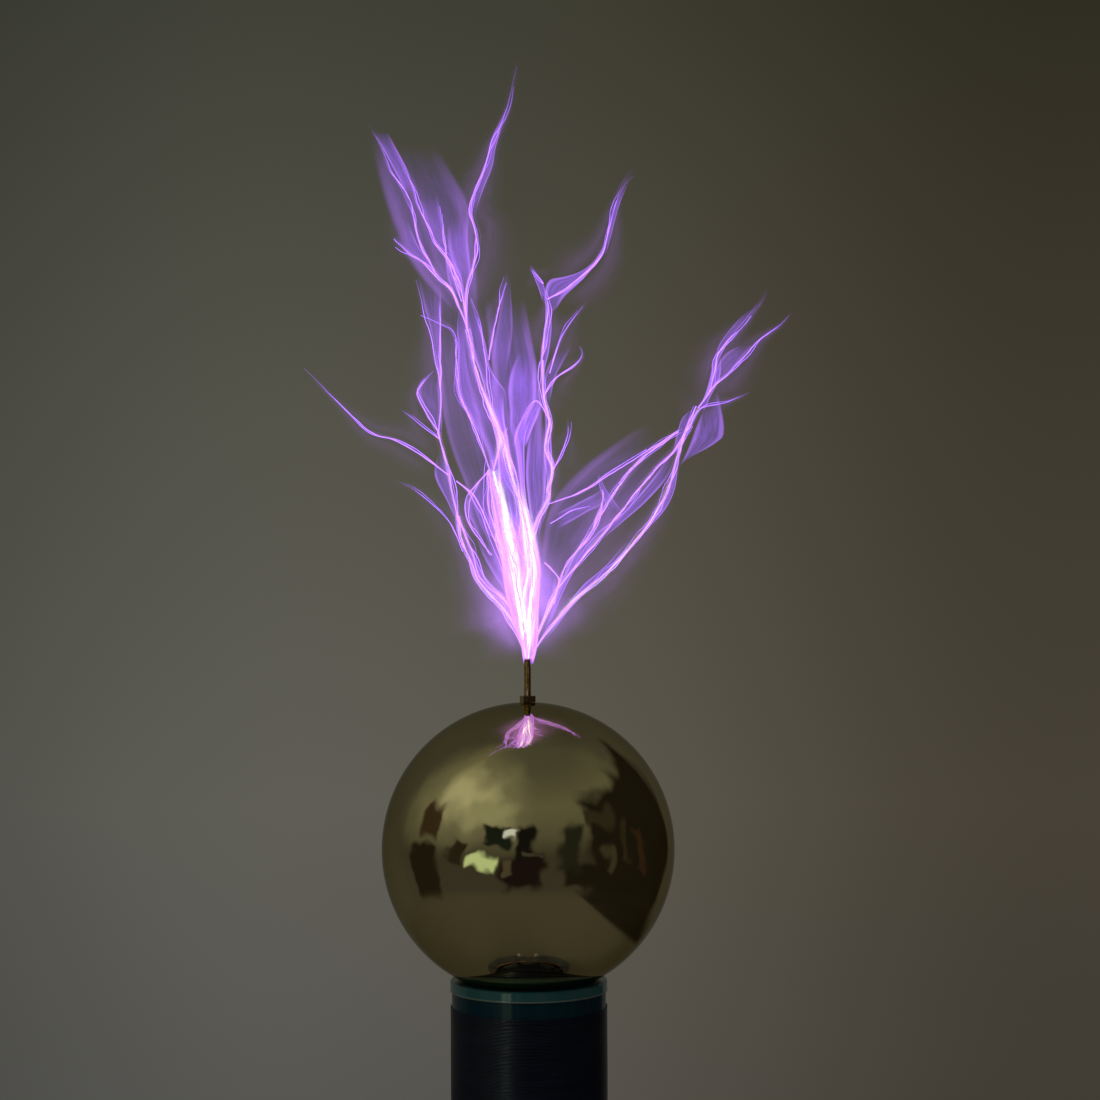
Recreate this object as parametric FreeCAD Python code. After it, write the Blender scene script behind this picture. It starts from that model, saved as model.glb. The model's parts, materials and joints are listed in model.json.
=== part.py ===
import FreeCAD, Part
import math
import os

from FreeCAD import Rotation, Vector

# A desk-top resonant coil: a round base with the driver, a wound column and a polished ball terminal
# with a discharge pin. Millimetres, +Z up, origin at the middle of the foot ring's underside.
# The front controls face -Y and the mains side faces +Y.

# ---- driving dimensions -------------------------------------------------------------------------
# base housing
base_radius = 90.0
flat_depth = 10.0            # how far the front and rear flats are cut into the round housing
housing_height = 62.0
wall = 3.0
deck_thickness = 3.0
deck_edge_round = 4.0
plate_thickness = 2.0
foot_height = 6.0
foot_width = 12.0
foot_inset = 14.0

# column
column_height = 190.0        # deck to the cap's top rim
former_radius = 39.5
former_wall = 3.0
wire_build = 0.7             # thickness of the winding and its varnish
cap_rim = 5.0
bare_band = 8.0              # unwound tube below the cap's rim
bare_foot = 8.0              # unwound tube above the foot flange
spigot_depth = 14.0
spigot_clearance = 0.1

# ball terminal
ball_radius = 75.0
ball_wall = 1.2
seat_inset = 5.4             # from the former's outside to the circle the ball sits on
seat_gap = 0.05

# discharge pin and its locknut
pin_radius = 2.0
pin_above_nut = 19.3
pin_in_ball = 16.0
nut_flats = 7.0
nut_height = 3.2

# primary winding and its supports
primary_radius = 58.0
primary_wire = 4.0
primary_pitch = 8.0
primary_turns = 5
primary_lift = 12.0          # first turn above the deck
primary_tail = 30.0
primary_facing = 90.0        # the side where the winding starts and ends
support_count = 6
support_first = 45.0         # the supports share the arc that the tails leave free
support_thickness = 5.0
support_reach = 9.0          # either side of the winding's radius
support_margin = 6.0         # above the last turn

# panels on the flats
panel_width = 76.0
panel_thickness = 1.5
panel_margin = 4.0           # panel edge to the housing's lower edge, and to the deck edge's round
window_margin = 6.0          # panel edge to the window behind it

# running clearances
slip = 0.1
turn_gap = 0.05

# ---- levels and radii that follow ---------------------------------------------------------------
plate_top = foot_height + plate_thickness
deck_top = plate_top + housing_height
deck_under = deck_top - deck_thickness
base_flat = base_radius - flat_depth
panel_low = plate_top + panel_margin
panel_high = deck_top - deck_edge_round - 1.0
panel_mid = (panel_low + panel_high) / 2
rim_top = deck_top + column_height
column_radius = former_radius + wire_build
former_bore = former_radius - former_wall
seat_radius = former_radius - seat_inset
ball_z = rim_top + math.sqrt((ball_radius + seat_gap) ** 2 - seat_radius ** 2)
ball_top = ball_z + ball_radius
pin_tip = ball_top + nut_height + pin_above_nut


# ---- building blocks ----------------------------------------------------------------------------
def cylinder(radius, low, high, x=0.0, y=0.0):
    return Part.makeCylinder(radius, high - low, Vector(x, y, low))


def tube(outer, inner, low, high, x=0.0, y=0.0):
    return cylinder(outer, low, high, x, y).cut(cylinder(inner, low - 1, high + 1, x, y))


def cylinder_y(radius, near, far, x, z):
    return Part.makeCylinder(radius, far - near, Vector(x, near, z), Vector(0, 1, 0))


def cylinder_x(radius, near, far, y, z):
    return Part.makeCylinder(radius, far - near, Vector(near, y, z), Vector(1, 0, 0))


def box(x0, x1, y0, y1, z0, z1):
    return Part.makeBox(x1 - x0, y1 - y0, z1 - z0, Vector(x0, y0, z0))


def turned(shape, degrees):
    copy = shape.copy()
    copy.rotate(Vector(0, 0, 0), Vector(0, 0, 1), degrees)
    return copy


def moved(shape, x, y, z):
    copy = shape.copy()
    copy.translate(Vector(x, y, z))
    return copy


def hexagon(flats, height):
    """A hexagonal prism standing on z = 0."""
    corner = flats / math.sqrt(3)
    points = []
    for k in range(7):
        angle = math.radians(60 * k)
        points.append(Vector(corner * math.cos(angle), corner * math.sin(angle), 0))
    return Part.Face(Part.makePolygon(points)).extrude(Vector(0, 0, height))


def double_d(radius, flat, low, high):
    """A round block with a flat at the front and one at the rear."""
    return cylinder(radius, low, high).common(box(-radius, radius, -flat, flat, low, high))


def revolved(profile):
    """Turns a closed outline of (radius, z) points about the Z axis."""
    points = [Vector(r, 0, z) for r, z in profile]
    face = Part.Face(Part.makePolygon(points + points[:1]))
    return face.revolve(Vector(0, 0, 0), Vector(0, 0, 1), 360)


def pan_screw(radius, length, head_radius, head_height):
    """A screw pointing up +Z, its head below z = 0, with a hexagon socket."""
    head = cylinder(head_radius, -head_height, 0)
    head = head.makeFillet(head_height * 0.3, [head.Edges[2]])
    socket = moved(hexagon(head_radius * 0.9, head_height * 0.6), 0, 0, -head_height)
    return head.fuse(cylinder(radius, 0, length)).removeSplitter().cut(socket)


def aimed(shape, direction):
    """Turns a shape made along +Z to point along direction."""
    copy = shape.copy()
    copy.Placement = FreeCAD.Placement(Vector(0, 0, 0), Rotation(Vector(0, 0, 1), direction))
    return copy


def around(count, radius, first=0.0):
    step = 360.0 / count
    angles = [math.radians(first + step * k) for k in range(count)]
    return [(radius * math.cos(a), radius * math.sin(a)) for a in angles]


def united(first, *others):
    return first.fuse(list(others)).removeSplitter()


def write(name, *solids):
    found = []
    for shape in solids:
        found += shape.Solids
    for solid in found:
        if not solid.isValid() or solid.Volume <= 0:
            raise ValueError(name + " has a bad solid")
    Part.makeCompound(found).exportStep("parts/" + name + ".step")


# ---- base: feet, plate, housing -----------------------------------------------------------------
boss_radius = 4.5
boss_height = 14.0
boss_angles = (30, 150, 210, 330)
boss_circle = base_radius - wall - boss_radius + 1.0
plate_screw = 1.5
plate_screw_hole = 1.7


def boss_places():
    places = []
    for degrees in boss_angles:
        angle = math.radians(degrees)
        places.append((boss_circle * math.cos(angle), boss_circle * math.sin(angle)))
    return places


def make_feet_and_plate():
    foot_outer = base_radius - foot_inset
    ring = tube(foot_outer, foot_outer - foot_width, 0, foot_height)
    write("foot_ring", ring)

    plate = double_d(base_radius, base_flat, foot_height, plate_top)
    holes = []
    for places, radius in ((boss_places(), plate_screw_hole), (board_posts(), board_screw_hole)):
        holes += [cylinder(radius, foot_height - 1, plate_top + 1, x, y) for x, y in places]
    write("bottom_plate", plate.cut(holes))

    screw = pan_screw(plate_screw, 8.0, 2.8, 1.8)
    write("bottom_screws", *[moved(screw, x, y, foot_height) for x, y in boss_places()])


# primary supports stand on the deck between the winding's tails
support_foot = 12.0
support_foot_height = 5.0
support_screw = 1.5

# the socket that the column plugs into hangs under the deck
socket_bore = 26.0
socket_wall = 7.0
socket_depth = 12.0
socket_floor = 3.0
socket_screw = 1.5
socket_screw_circle = socket_bore + socket_wall / 2

# primary terminal posts on the deck
post_radius = 4.0
post_circle = math.hypot(primary_radius, primary_tail)
post_stud = 5.0              # how far a post's stud reaches under the deck

# vents beside the ground terminal
vent_width = 3.0
vent_height = 24.0
vent_low = plate_top + 28.0
vent_step = 6.0
vent_count = 13

ground_z = plate_top + 15.0
ground_stud = 2.5


def post_places():
    """Where the primary's two tails end: they leave the winding along its tangent."""
    lean = math.degrees(math.atan2(primary_tail, primary_radius))
    end = 360.0 * (primary_turns % 1)
    places = []
    for degrees in (-lean, end + lean):
        angle = math.radians(degrees + primary_facing)
        places.append((post_circle * math.cos(angle), post_circle * math.sin(angle)))
    return places


def support_angles():
    """Each support's angle from where the winding starts, and its angle in the frame."""
    step = (360.0 - 2 * support_first) / (support_count - 1)
    angles = [support_first + step * k for k in range(support_count)]
    return [(angle, angle + primary_facing) for angle in angles]


def support_screw_places():
    angles = [math.radians(a) for _, a in support_angles()]
    return [(primary_radius * math.cos(a), primary_radius * math.sin(a)) for a in angles]


def make_housing():
    outer = double_d(base_radius, base_flat, plate_top, deck_top)
    rim = [e for e in outer.Edges if e.BoundBox.ZMin > deck_top - 0.01]
    outer = outer.makeFillet(deck_edge_round, rim)
    inner = double_d(base_radius - wall, base_flat - wall, plate_top - 1, deck_under)
    shell = outer.cut(inner)

    bosses = []
    for x, y in boss_places():
        bosses.append(cylinder(boss_radius, plate_top, plate_top + boss_height, x, y))
    kept = double_d(base_radius - wall / 2, base_flat, plate_top, deck_top)
    shell = united(shell, *[b.common(kept) for b in bosses])

    cuts = [cylinder(plate_screw + turn_gap, plate_top - 1, plate_top + 10, x, y)
            for x, y in boss_places()]
    cuts.append(cylinder(socket_bore, deck_under - 1, deck_top + 1))
    cuts += [cylinder(socket_screw + slip, deck_under - 1, deck_top + 1, x, y)
             for x, y in around(4, socket_screw_circle, 45)]
    sunk = deck_top - socket_screw
    cuts += [Part.makeCone(socket_screw + slip, socket_screw * 2 + slip, socket_screw, Vector(x, y, sunk))
             for x, y in around(4, socket_screw_circle, 45)]
    cuts += [cylinder(support_screw + slip, deck_under - 1, deck_top + 1, x, y)
             for x, y in support_screw_places()]
    cuts += [cylinder(post_radius / 2 + slip, deck_under - 1, deck_top + 1, x, y) for x, y in post_places()]
    window_x = panel_width / 2 - window_margin
    for side in (-1, 1):
        ends = sorted((side * (base_flat - wall - 1), side * (base_flat + 1)))
        low = panel_low + window_margin / 2
        high = panel_high - window_margin / 2
        cuts.append(box(-window_x, window_x, ends[0], ends[1], low, high))
        for x, z in panel_screw_places():
            cuts.append(cylinder_y(panel_screw + turn_gap, ends[0], ends[1], x, z))
        cuts.append(vent_slots(side))
    cuts.append(cylinder_x(ground_stud + slip, base_radius - wall - 2, base_radius + 1, 0, ground_z))
    write("base_housing", shell.cut(cuts))


def vent_slots(side):
    """A fan of upright slots through one round side of the housing."""
    slots = []
    middle = 0 if side > 0 else 180
    for k in range(vent_count):
        degrees = middle + vent_step * (k - (vent_count - 1) / 2)
        slot = box(base_radius - 2 * wall, base_radius + 2, -vent_width / 2, vent_width / 2,
                   vent_low, vent_low + vent_height)
        slots.append(turned(slot, degrees))
    return Part.makeCompound(slots)


# ---- base: front and rear panels ----------------------------------------------------------------
panel_screw = 1.25
panel_screw_inset = 3.6
knob_x = 23.0
knob_radius = 9.0
knob_height = 14.0
shaft_radius = 3.0
bush_radius = 3.5
pot_radius = 8.0
pot_depth = 8.0
jack_radius = 4.0
button_radius = 5.0
button_travel = 1.5
button_proud = 3.0
led_radius = 2.5
upper_row = panel_mid + 6.0
lower_row = panel_mid - 15.0

fan_size = 35.0
fan_depth = 10.0
fan_x = -14.0
fan_bore = 16.3
fan_hub = 7.5
fan_tip_gap = 0.8
fan_blades = 7
fan_hole_inset = 3.0
guard_bar = 1.2
duct_x = 19.0                # inlet, switch and fuse stand in one row
inlet_z = panel_mid + 16.0
switch_z = panel_mid - 1.0
fuse_z = panel_mid - 17.0
inlet_width = 22.0
inlet_height = 12.0
inlet_depth = 18.0
bezel = 1.5
bezel_thickness = 2.0
switch_width = 19.0
switch_height = 13.0
switch_depth = 16.0
rocker_tilt = 12.0
fuse_radius = 5.5
fuse_cap_radius = 6.5
fuse_depth = 28.0


def panel_screw_places():
    x = panel_width / 2 - panel_screw_inset
    heights = (panel_low + panel_screw_inset, panel_high - panel_screw_inset)
    return [(sx * x, z) for sx in (-1, 1) for z in heights]


def panel_blank(side):
    """The plate that lies on one flat, before its own holes. side is -1 for the front."""
    ends = sorted((side * base_flat, side * (base_flat + panel_thickness)))
    blank = box(-panel_width / 2, panel_width / 2, ends[0], ends[1], panel_low, panel_high)
    upright = [e for e in blank.Edges if e.BoundBox.XLength < 0.01 and e.BoundBox.ZLength < 0.01]
    blank = blank.makeFillet(3.0, upright)
    holes = [cylinder_y(panel_screw + slip, ends[0] - 1, ends[1] + 1, x, z) for x, z in panel_screw_places()]
    return blank.cut(holes)


def panel_screws(side):
    screw = pan_screw(panel_screw, 7.0, 2.4, 1.6)
    screw = aimed(screw, Vector(0, -side, 0))
    face = side * (base_flat + panel_thickness)
    return [moved(screw, x, face, z) for x, z in panel_screw_places()]


def make_front():
    face = -(base_flat + panel_thickness)
    back = -base_flat
    holes = [cylinder_y(bush_radius + slip, face - 1, back + 1, x, upper_row) for x in (-knob_x, knob_x)]
    holes.append(cylinder_y(jack_radius + slip, face - 1, back + 1, -knob_x, lower_row))
    holes.append(cylinder_y(button_radius + 1.0 + slip, face - 1, back + 1, 0, upper_row))
    holes.append(cylinder_y(led_radius + slip, face - 1, back + 1, knob_x, lower_row))
    holes.append(cylinder_y(led_radius + slip, face - 1, back + 1, 0, lower_row))
    write("front_panel", panel_blank(-1).cut(holes))
    write("panel_screws", *(panel_screws(-1) + panel_screws(1)))

    pots = []
    nuts = []
    for name, x in (("power", -knob_x), ("pitch", knob_x)):
        body = cylinder_y(pot_radius, back, back + pot_depth, x, upper_row)
        bush = cylinder_y(bush_radius, face - 3.0, back, x, upper_row)
        bore = cylinder_y(shaft_radius + turn_gap, face - 4.0, back + pot_depth - 1.0, x, upper_row)
        pots.append(united(body, bush).cut(bore))
        nut = aimed(hexagon(10.0, 2.0), Vector(0, -1, 0))
        hole = cylinder_y(bush_radius, face - 3.0, face + 1, x, upper_row)
        nuts.append(moved(nut, x, face, upper_row).cut(hole))
        make_knob(name + "_knob", x, face)

    write("control_pots", *pots)
    write("pot_nuts", *nuts)

    jack = united(cylinder_y(jack_radius, face - 1.5, back, -knob_x, lower_row),
                  box(-knob_x - 5, -knob_x + 5, back, back + pot_depth, lower_row - 5, lower_row + 5))
    jack_bore = cylinder_y(1.8, face - 2, back + pot_depth - 1.0, -knob_x, lower_row)
    write("audio_jack", jack.cut(jack_bore))

    sleeve_outer = button_radius + 1.0
    sleeve = cylinder_y(sleeve_outer, face - 1.0, back + pot_depth, 0, upper_row)
    room = cylinder_y(button_radius + slip, face - 2.0, back + pot_depth - 1.5, 0, upper_row)
    write("button_sleeve", sleeve.cut(room))
    cap = cylinder_y(button_radius, face - button_proud, face + 2.5, 0, upper_row)
    front_edge = [e for e in cap.Edges if e.BoundBox.YMax < face - button_proud + 0.01]
    write("mode_button", cap.makeFillet(0.8, front_edge))

    lamps = []
    for x in (knob_x, 0):
        dome = united(cylinder_y(led_radius, face, back + 3.0, x, lower_row),
                      cylinder_y(led_radius + 0.5, back, back + 3.0, x, lower_row),
                      Part.makeSphere(led_radius, Vector(x, face, lower_row)))
        lamps.append(dome)
    write("indicator_lamps", *lamps)

    board_front = back + pot_depth
    half = panel_width / 2 - window_margin - 1.0
    low = panel_low + window_margin
    high = panel_high - window_margin
    board = box(-half, half, board_front, board_front + board_thickness, low, high)
    write("control_board", board)


def make_knob(name, x, face):
    """A turned knob on its shaft, with grip flutes and a pointer groove at the top."""
    skirt_gap = 0.8
    near = face - skirt_gap - knob_height
    body = cylinder_y(knob_radius, near, face - skirt_gap, x, upper_row)
    crown = [e for e in body.Edges if e.BoundBox.YMax < near + 0.01]
    body = body.makeFillet(1.2, crown)
    flutes = []
    for k in range(18):
        angle = math.radians(20 * k + 10)
        fx = x + (knob_radius + 0.6) * math.cos(angle)
        fz = upper_row + (knob_radius + 0.6) * math.sin(angle)
        flutes.append(cylinder_y(1.1, near + 2.5, face - skirt_gap - 3.0, fx, fz))
    pointer = box(x - 0.6, x + 0.6, near - 1, near + 0.7, upper_row + 3, upper_row + knob_radius + 1)
    hollow = cylinder_y(6.4, face - skirt_gap - 3.0, face - skirt_gap + 1, x, upper_row)
    body = body.cut(flutes + [pointer, hollow])
    shaft = cylinder_y(shaft_radius, face - skirt_gap - 4.0, -base_flat + pot_depth - 2.0, x, upper_row)
    write(name, united(body, shaft))


def make_rear():
    back = base_flat
    face = base_flat + panel_thickness
    holes = [cylinder_y(fan_bore, back - 1, face + 1, fan_x, panel_mid)]
    for x, z in fan_screw_places():
        holes.append(cylinder_y(1.6, back - 1, face + 1, x, z))
    for z, width, height in ((inlet_z, inlet_width, inlet_height), (switch_z, switch_width, switch_height)):
        holes.append(centred_box(duct_x, z, width + slip, height + slip, back - 1, face + 1))
    holes.append(cylinder_y(fuse_radius + slip, back - 1, face + 1, duct_x, fuse_z))
    write("rear_panel", panel_blank(1).cut(holes))
    make_fan(back, face)
    make_inlet(face)
    make_switch(face)
    make_fuse(face)


def centred_box(x, z, width, height, y0, y1):
    return box(x - width / 2, x + width / 2, y0, y1, z - height / 2, z + height / 2)


def fan_screw_places():
    reach = fan_size / 2 - fan_hole_inset
    return [(fan_x + sx * reach, panel_mid + sz * reach) for sx in (-1, 1) for sz in (-1, 1)]


def ring_y(radius, y0, y1, x, z):
    """A flat ring of the fan guard's bar width about a line along Y."""
    outer = cylinder_y(radius + guard_bar / 2, y0, y1, x, z)
    return outer.cut(cylinder_y(radius - guard_bar / 2, y0 - 1, y1 + 1, x, z))


def make_fan(back, face):
    frame = centred_box(fan_x, panel_mid, fan_size, fan_size, back - fan_depth, back)
    upright = [e for e in frame.Edges if e.BoundBox.YLength > fan_depth - 0.1]
    frame = frame.makeFillet(3.0, upright)
    frame = frame.cut(cylinder_y(fan_bore, back - fan_depth - 1, back + 1, fan_x, panel_mid))
    inside = back - fan_depth
    struts = []
    for k in range(3):
        strut = box(0, fan_bore + 0.5, inside, inside + 1.5, -1.0, 1.0)
        strut.rotate(Vector(0, 0, 0), Vector(0, 1, 0), 120 * k + 30)
        struts.append(moved(strut, fan_x, 0, panel_mid))
    motor = cylinder_y(fan_hub, inside, inside + 1.5, fan_x, panel_mid)
    pin_hole = cylinder_y(1.0 + turn_gap, inside - 1, inside + 2, fan_x, panel_mid)
    frame = united(frame, motor, *struts)
    holes = [cylinder_y(1.6, inside - 1, back + 1, x, z) for x, z in fan_screw_places()]
    frame = frame.cut(holes + [pin_hole])
    write("fan_frame", frame)

    hub = cylinder_y(fan_hub, inside + 2.2, back - 1.0, fan_x, panel_mid)
    axle = cylinder_y(1.0, inside + 0.3, inside + 2.3, fan_x, panel_mid)
    blades = []
    span = fan_bore - fan_tip_gap
    for k in range(fan_blades):
        blade = box(fan_hub - 0.6, span, -0.5, 0.5, -4.2, 4.2)
        blade.rotate(Vector(0, 0, 0), Vector(1, 0, 0), -48)
        blade = moved(blade, 0, back - fan_depth / 2 + 0.6, 0)
        blade.rotate(Vector(0, 0, 0), Vector(0, 1, 0), 360.0 / fan_blades * k)
        blades.append(moved(blade, fan_x, 0, panel_mid))
    sweep = cylinder_y(span, inside + 2.2, back - 1.0, fan_x, panel_mid)
    write("fan_rotor", united(hub, axle, *[b.common(sweep) for b in blades]))

    reach = math.hypot(fan_size / 2 - fan_hole_inset, fan_size / 2 - fan_hole_inset)
    front = face + guard_bar
    bars = [ring_y(radius, face, front, 0, 0) for radius in (5.5, 9.5, 13.5)]
    for k in range(4):
        spoke = box(5.0, reach - 2.2, face, front, -guard_bar / 2, guard_bar / 2)
        spoke.rotate(Vector(0, 0, 0), Vector(0, 1, 0), 90 * k + 45)
        angle = math.radians(90 * k + 45)
        eye = ring_y(2.6, face, front, reach * math.cos(angle), reach * math.sin(angle))
        bars += [spoke, eye]
    guard = ring_y(17.5, face, front, 0, 0).fuse(bars).removeSplitter()
    write("fan_guard", moved(guard, fan_x, 0, panel_mid))

    screw = aimed(pan_screw(1.4, fan_depth + panel_thickness + 2.0, 2.9, 1.6), Vector(0, -1, 0))
    write("fan_screws", *[moved(screw, x, face + guard_bar, z) for x, z in fan_screw_places()])


def bezel_flange(z, width, height, face, corner):
    flange = centred_box(duct_x, z, width + 2 * bezel, height + 2 * bezel, face, face + bezel_thickness)
    edges = [e for e in flange.Edges if e.BoundBox.YLength > bezel_thickness - 0.1]
    return flange.makeFillet(corner, edges)


def make_inlet(face):
    flange = bezel_flange(inlet_z, inlet_width, inlet_height, face, 2.0)
    body = centred_box(duct_x, inlet_z, inlet_width, inlet_height, face - inlet_depth, face)
    mouth = [cylinder_y(4.3, face - inlet_depth + 4, face + 3, duct_x + sx * 4.4, inlet_z) for sx in (-1, 1)]
    waist = centred_box(duct_x, inlet_z, 8.8, 6.4, face - inlet_depth + 4, face + 3)
    pins = []
    for sx in (-1, 1):
        pin = cylinder_y(1.1, face - inlet_depth - 5, face - 3, duct_x + sx * 4.4, inlet_z)
        tip = [e for e in pin.Edges if e.BoundBox.YMin > face - 3.01]
        pins.append(pin.makeFillet(0.6, tip))
    write("inlet_pins", *pins)
    write("mains_inlet", united(flange, body).cut(mouth + [waist] + pins))


def make_switch(face):
    flange = bezel_flange(switch_z, switch_width, switch_height, face, 1.5)
    body = centred_box(duct_x, switch_z, switch_width, switch_height, face - switch_depth, face)
    room = centred_box(duct_x, switch_z, switch_width - 3.0, switch_height - 3.0, face - 7.5, face + 3)
    reach = switch_width / 2 - 0.5
    axle_hole = cylinder_x(1.0 + turn_gap, duct_x - reach, duct_x + reach, rocker_y(face), switch_z)
    write("switch_body", united(flange, body).cut([room, axle_hole]))

    half_width = (switch_width - 3.4) / 2
    half_height = (switch_height - 4.8) / 2
    middle = rocker_y(face)
    proud = face + bezel_thickness
    outline = [(middle - 2.2, -2.6), (proud + 0.4, -half_height), (proud + 2.4, -half_height + 0.8),
               (proud + 0.6, 0.0), (proud + 2.4, half_height - 0.8), (proud + 0.4, half_height),
               (middle - 2.2, 2.6)]
    points = [Vector(0, y, switch_z + z) for y, z in outline]
    paddle = Part.Face(Part.makePolygon(points + points[:1])).extrude(Vector(2 * half_width, 0, 0))
    paddle = moved(paddle, duct_x - half_width, 0, 0)
    reach = switch_width / 2 - 0.7
    axle = cylinder_x(1.0, duct_x - reach, duct_x + reach, middle, switch_z)
    rocker = united(paddle, axle)
    rocker.rotate(Vector(duct_x, middle, switch_z), Vector(1, 0, 0), -rocker_tilt)
    write("rocker", rocker)


def rocker_y(face):
    return face - 1.0


def make_fuse(face):
    holder = united(cylinder_y(fuse_radius, face - fuse_depth, face, duct_x, fuse_z),
                    cylinder_y(fuse_cap_radius + 0.6, face, face + 1.2, duct_x, fuse_z))
    holder = holder.cut(cylinder_y(3.4, face - fuse_depth + 2, face + 2, duct_x, fuse_z))
    write("fuse_holder", holder)
    near = face + 1.2 + slip
    cap = cylinder_y(fuse_cap_radius, near, near + 7.0, duct_x, fuse_z)
    crown = [e for e in cap.Edges if e.BoundBox.YMin > near + 6.9]
    cap = cap.makeFillet(1.0, crown)
    slot = centred_box(duct_x, fuse_z, 9.0, 1.4, near + 5.8, near + 8)
    stem = cylinder_y(3.2, face - 3.0, near, duct_x, fuse_z)
    write("fuse_cap", united(cap.cut(slot), stem))
    glass = tube_y(2.6, 2.0, face - 22.0, face - 4.0)
    ends = [cylinder_y(2.6, face - 26.0, face - 22.0, duct_x, fuse_z),
            cylinder_y(2.6, face - 4.0, face - 3.1, duct_x, fuse_z)]
    write("fuse_glass", glass)
    write("fuse_ends", *ends)


def tube_y(outer, inner, y0, y1):
    return cylinder_y(outer, y0, y1, duct_x, fuse_z).cut(cylinder_y(inner, y0 - 1, y1 + 1, duct_x, fuse_z))


def make_ground_terminal():
    start = base_radius
    collar = cylinder_x(7.0, start, start + 3.0, 0, ground_z)
    collar = collar.cut(cylinder_x(ground_stud + slip, start - 1, start + 4, 0, ground_z))
    write("ground_insulator", collar)
    stud = united(cylinder_x(ground_stud, start - wall - 9.0, start + 18.0, 0, ground_z),
                  moved(aimed(hexagon(8.0, 3.0), Vector(1, 0, 0)), start - wall - 5.0, 0, ground_z))
    write("ground_stud", stud)
    nut_start = start + 3.0 + slip
    nut = cylinder_x(6.5, nut_start, nut_start + 11.0, 0, ground_z)
    grooves = []
    for k in range(16):
        angle = math.radians(22.5 * k)
        grooves.append(cylinder_x(0.7, nut_start + 1.5, nut_start + 12, 6.7 * math.cos(angle),
                                  ground_z + 6.7 * math.sin(angle)))
    nut = nut.cut(grooves + [cylinder_x(ground_stud + turn_gap, nut_start - 1, nut_start + 12, 0, ground_z)])
    write("ground_nut", nut)


# ---- base: what the housing holds ---------------------------------------------------------------
board_radius = base_radius - wall - 11.0
board_flat = base_flat - wall - 11.0
board_lift = 6.0
board_thickness = 1.6
board_screw_hole = 1.6
board_low = plate_top + board_lift
board_top = board_low + board_thickness


def board_posts():
    return [(sx * 46.0, sy * 36.0) for sx in (-1, 1) for sy in (-1, 1)]


def make_driver():
    board = double_d(board_radius, board_flat, board_low, board_top)
    holes = [cylinder(board_screw_hole, board_low - 1, board_top + 1, x, y) for x, y in board_posts()]
    board = board.cut(holes)
    write("driver_board", board)
    post = hexagon(5.5, board_lift).cut(cylinder(1.5, -1, board_lift + 1))
    write("board_posts", *[moved(post, x, y, plate_top) for x, y in board_posts()])
    down = aimed(pan_screw(1.4, 4.5, 2.7, 1.6), Vector(0, 0, -1))
    up = pan_screw(1.4, 4.5, 2.7, 1.6)
    screws = [moved(down, x, y, board_top) for x, y in board_posts()]
    screws += [moved(up, x, y, foot_height) for x, y in board_posts()]
    write("board_screws", *screws)

    sink_far = base_flat - wall - fan_depth - 6.0
    sink_near = sink_far - 46.0
    sink_width = fan_size - 4.0
    sink_left = fan_x - sink_width / 2
    base = box(sink_left, sink_left + sink_width, sink_near, sink_far, board_top, board_top + 5)
    fins = []
    for k in range(9):
        x = sink_left + (sink_width - 1.6) * k / 8
        fins.append(box(x, x + 1.6, sink_near, sink_far, board_top + 5, board_top + 30))
    write("heatsink", united(base, *fins))

    cases = []
    for y in (sink_near + 4, sink_near + 25):
        case = box(sink_left - 5.0, sink_left, y, y + 16, board_top + 3, board_top + 23)
        starts = [y + 2.2 + 5 * k for k in range(3)]
        legs = [box(sink_left - 3.0, sink_left - 2.2, t, t + 1.4, board_top, board_top + 3) for t in starts]
        cases.append(united(case, *legs))
    write("power_transistors", *cases)

    cans = []
    for y in (-18.0, 12.0):
        can = cylinder(12.5, board_top, board_top + 34, 44.0, y)
        rim = [e for e in can.Edges if e.BoundBox.ZMin > board_top + 33.9]
        cans.append(can.makeFillet(1.5, rim))
    write("bus_capacitors", *cans)

    films = []
    for x in (-24.0, -8.0, 8.0, 24.0):
        film = box(x - 6.5, x + 6.5, -44.0, -36.0, board_top, board_top + 15)
        films.append(film.makeFillet(1.0, film.Edges))
    write("film_capacitors", *films)

    core = Part.makeTorus(9.5, 3.5, Vector(-50.0, -8.0, board_top + 3.5))
    write("gate_transformer", core)
    bridge = box(12.0, 28.0, -29.0, -25.0, board_top, board_top + 16)
    write("board_chips", bridge, box(-20.0, 0.0, -20.0, -13.0, board_top, board_top + 4))


# ---- deck: socket, supports, primary winding ----------------------------------------------------
def make_socket():
    outer = socket_bore + socket_wall
    floor_low = deck_top - socket_depth - socket_floor
    socket = cylinder(outer, floor_low, deck_under)
    socket = socket.cut(cylinder(socket_bore, floor_low + socket_floor, deck_under + 1))
    holes = [cylinder(socket_screw + turn_gap, deck_under - 9, deck_under + 1, x, y)
             for x, y in around(4, socket_screw_circle, 45)]
    holes.append(cylinder(5.0, floor_low - 1, floor_low + socket_floor + 1))
    write("coil_socket", socket.cut(holes))

    screws = []
    for x, y in around(4, socket_screw_circle, 45):
        sunk = deck_top - socket_screw
        head = Part.makeCone(socket_screw, socket_screw * 2, socket_screw, Vector(x, y, sunk))
        shank = cylinder(socket_screw, deck_top - 10, sunk, x, y)
        recess = moved(hexagon(2.0, 1.2), x, y, deck_top - 1.0)
        screws.append(united(head, shank).cut(recess))
    write("socket_screws", *screws)

    # ground contact: a sprung sleeve under the socket's floor takes the column's plug
    sleeve = united(cylinder(5.0, floor_low - 12, floor_low + 1), cylinder(7.5, floor_low - 2, floor_low))
    bore = cylinder(contact_radius + turn_gap, floor_low - 10, floor_low + socket_floor)
    write("ground_sleeve", sleeve.cut(bore))


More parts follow.
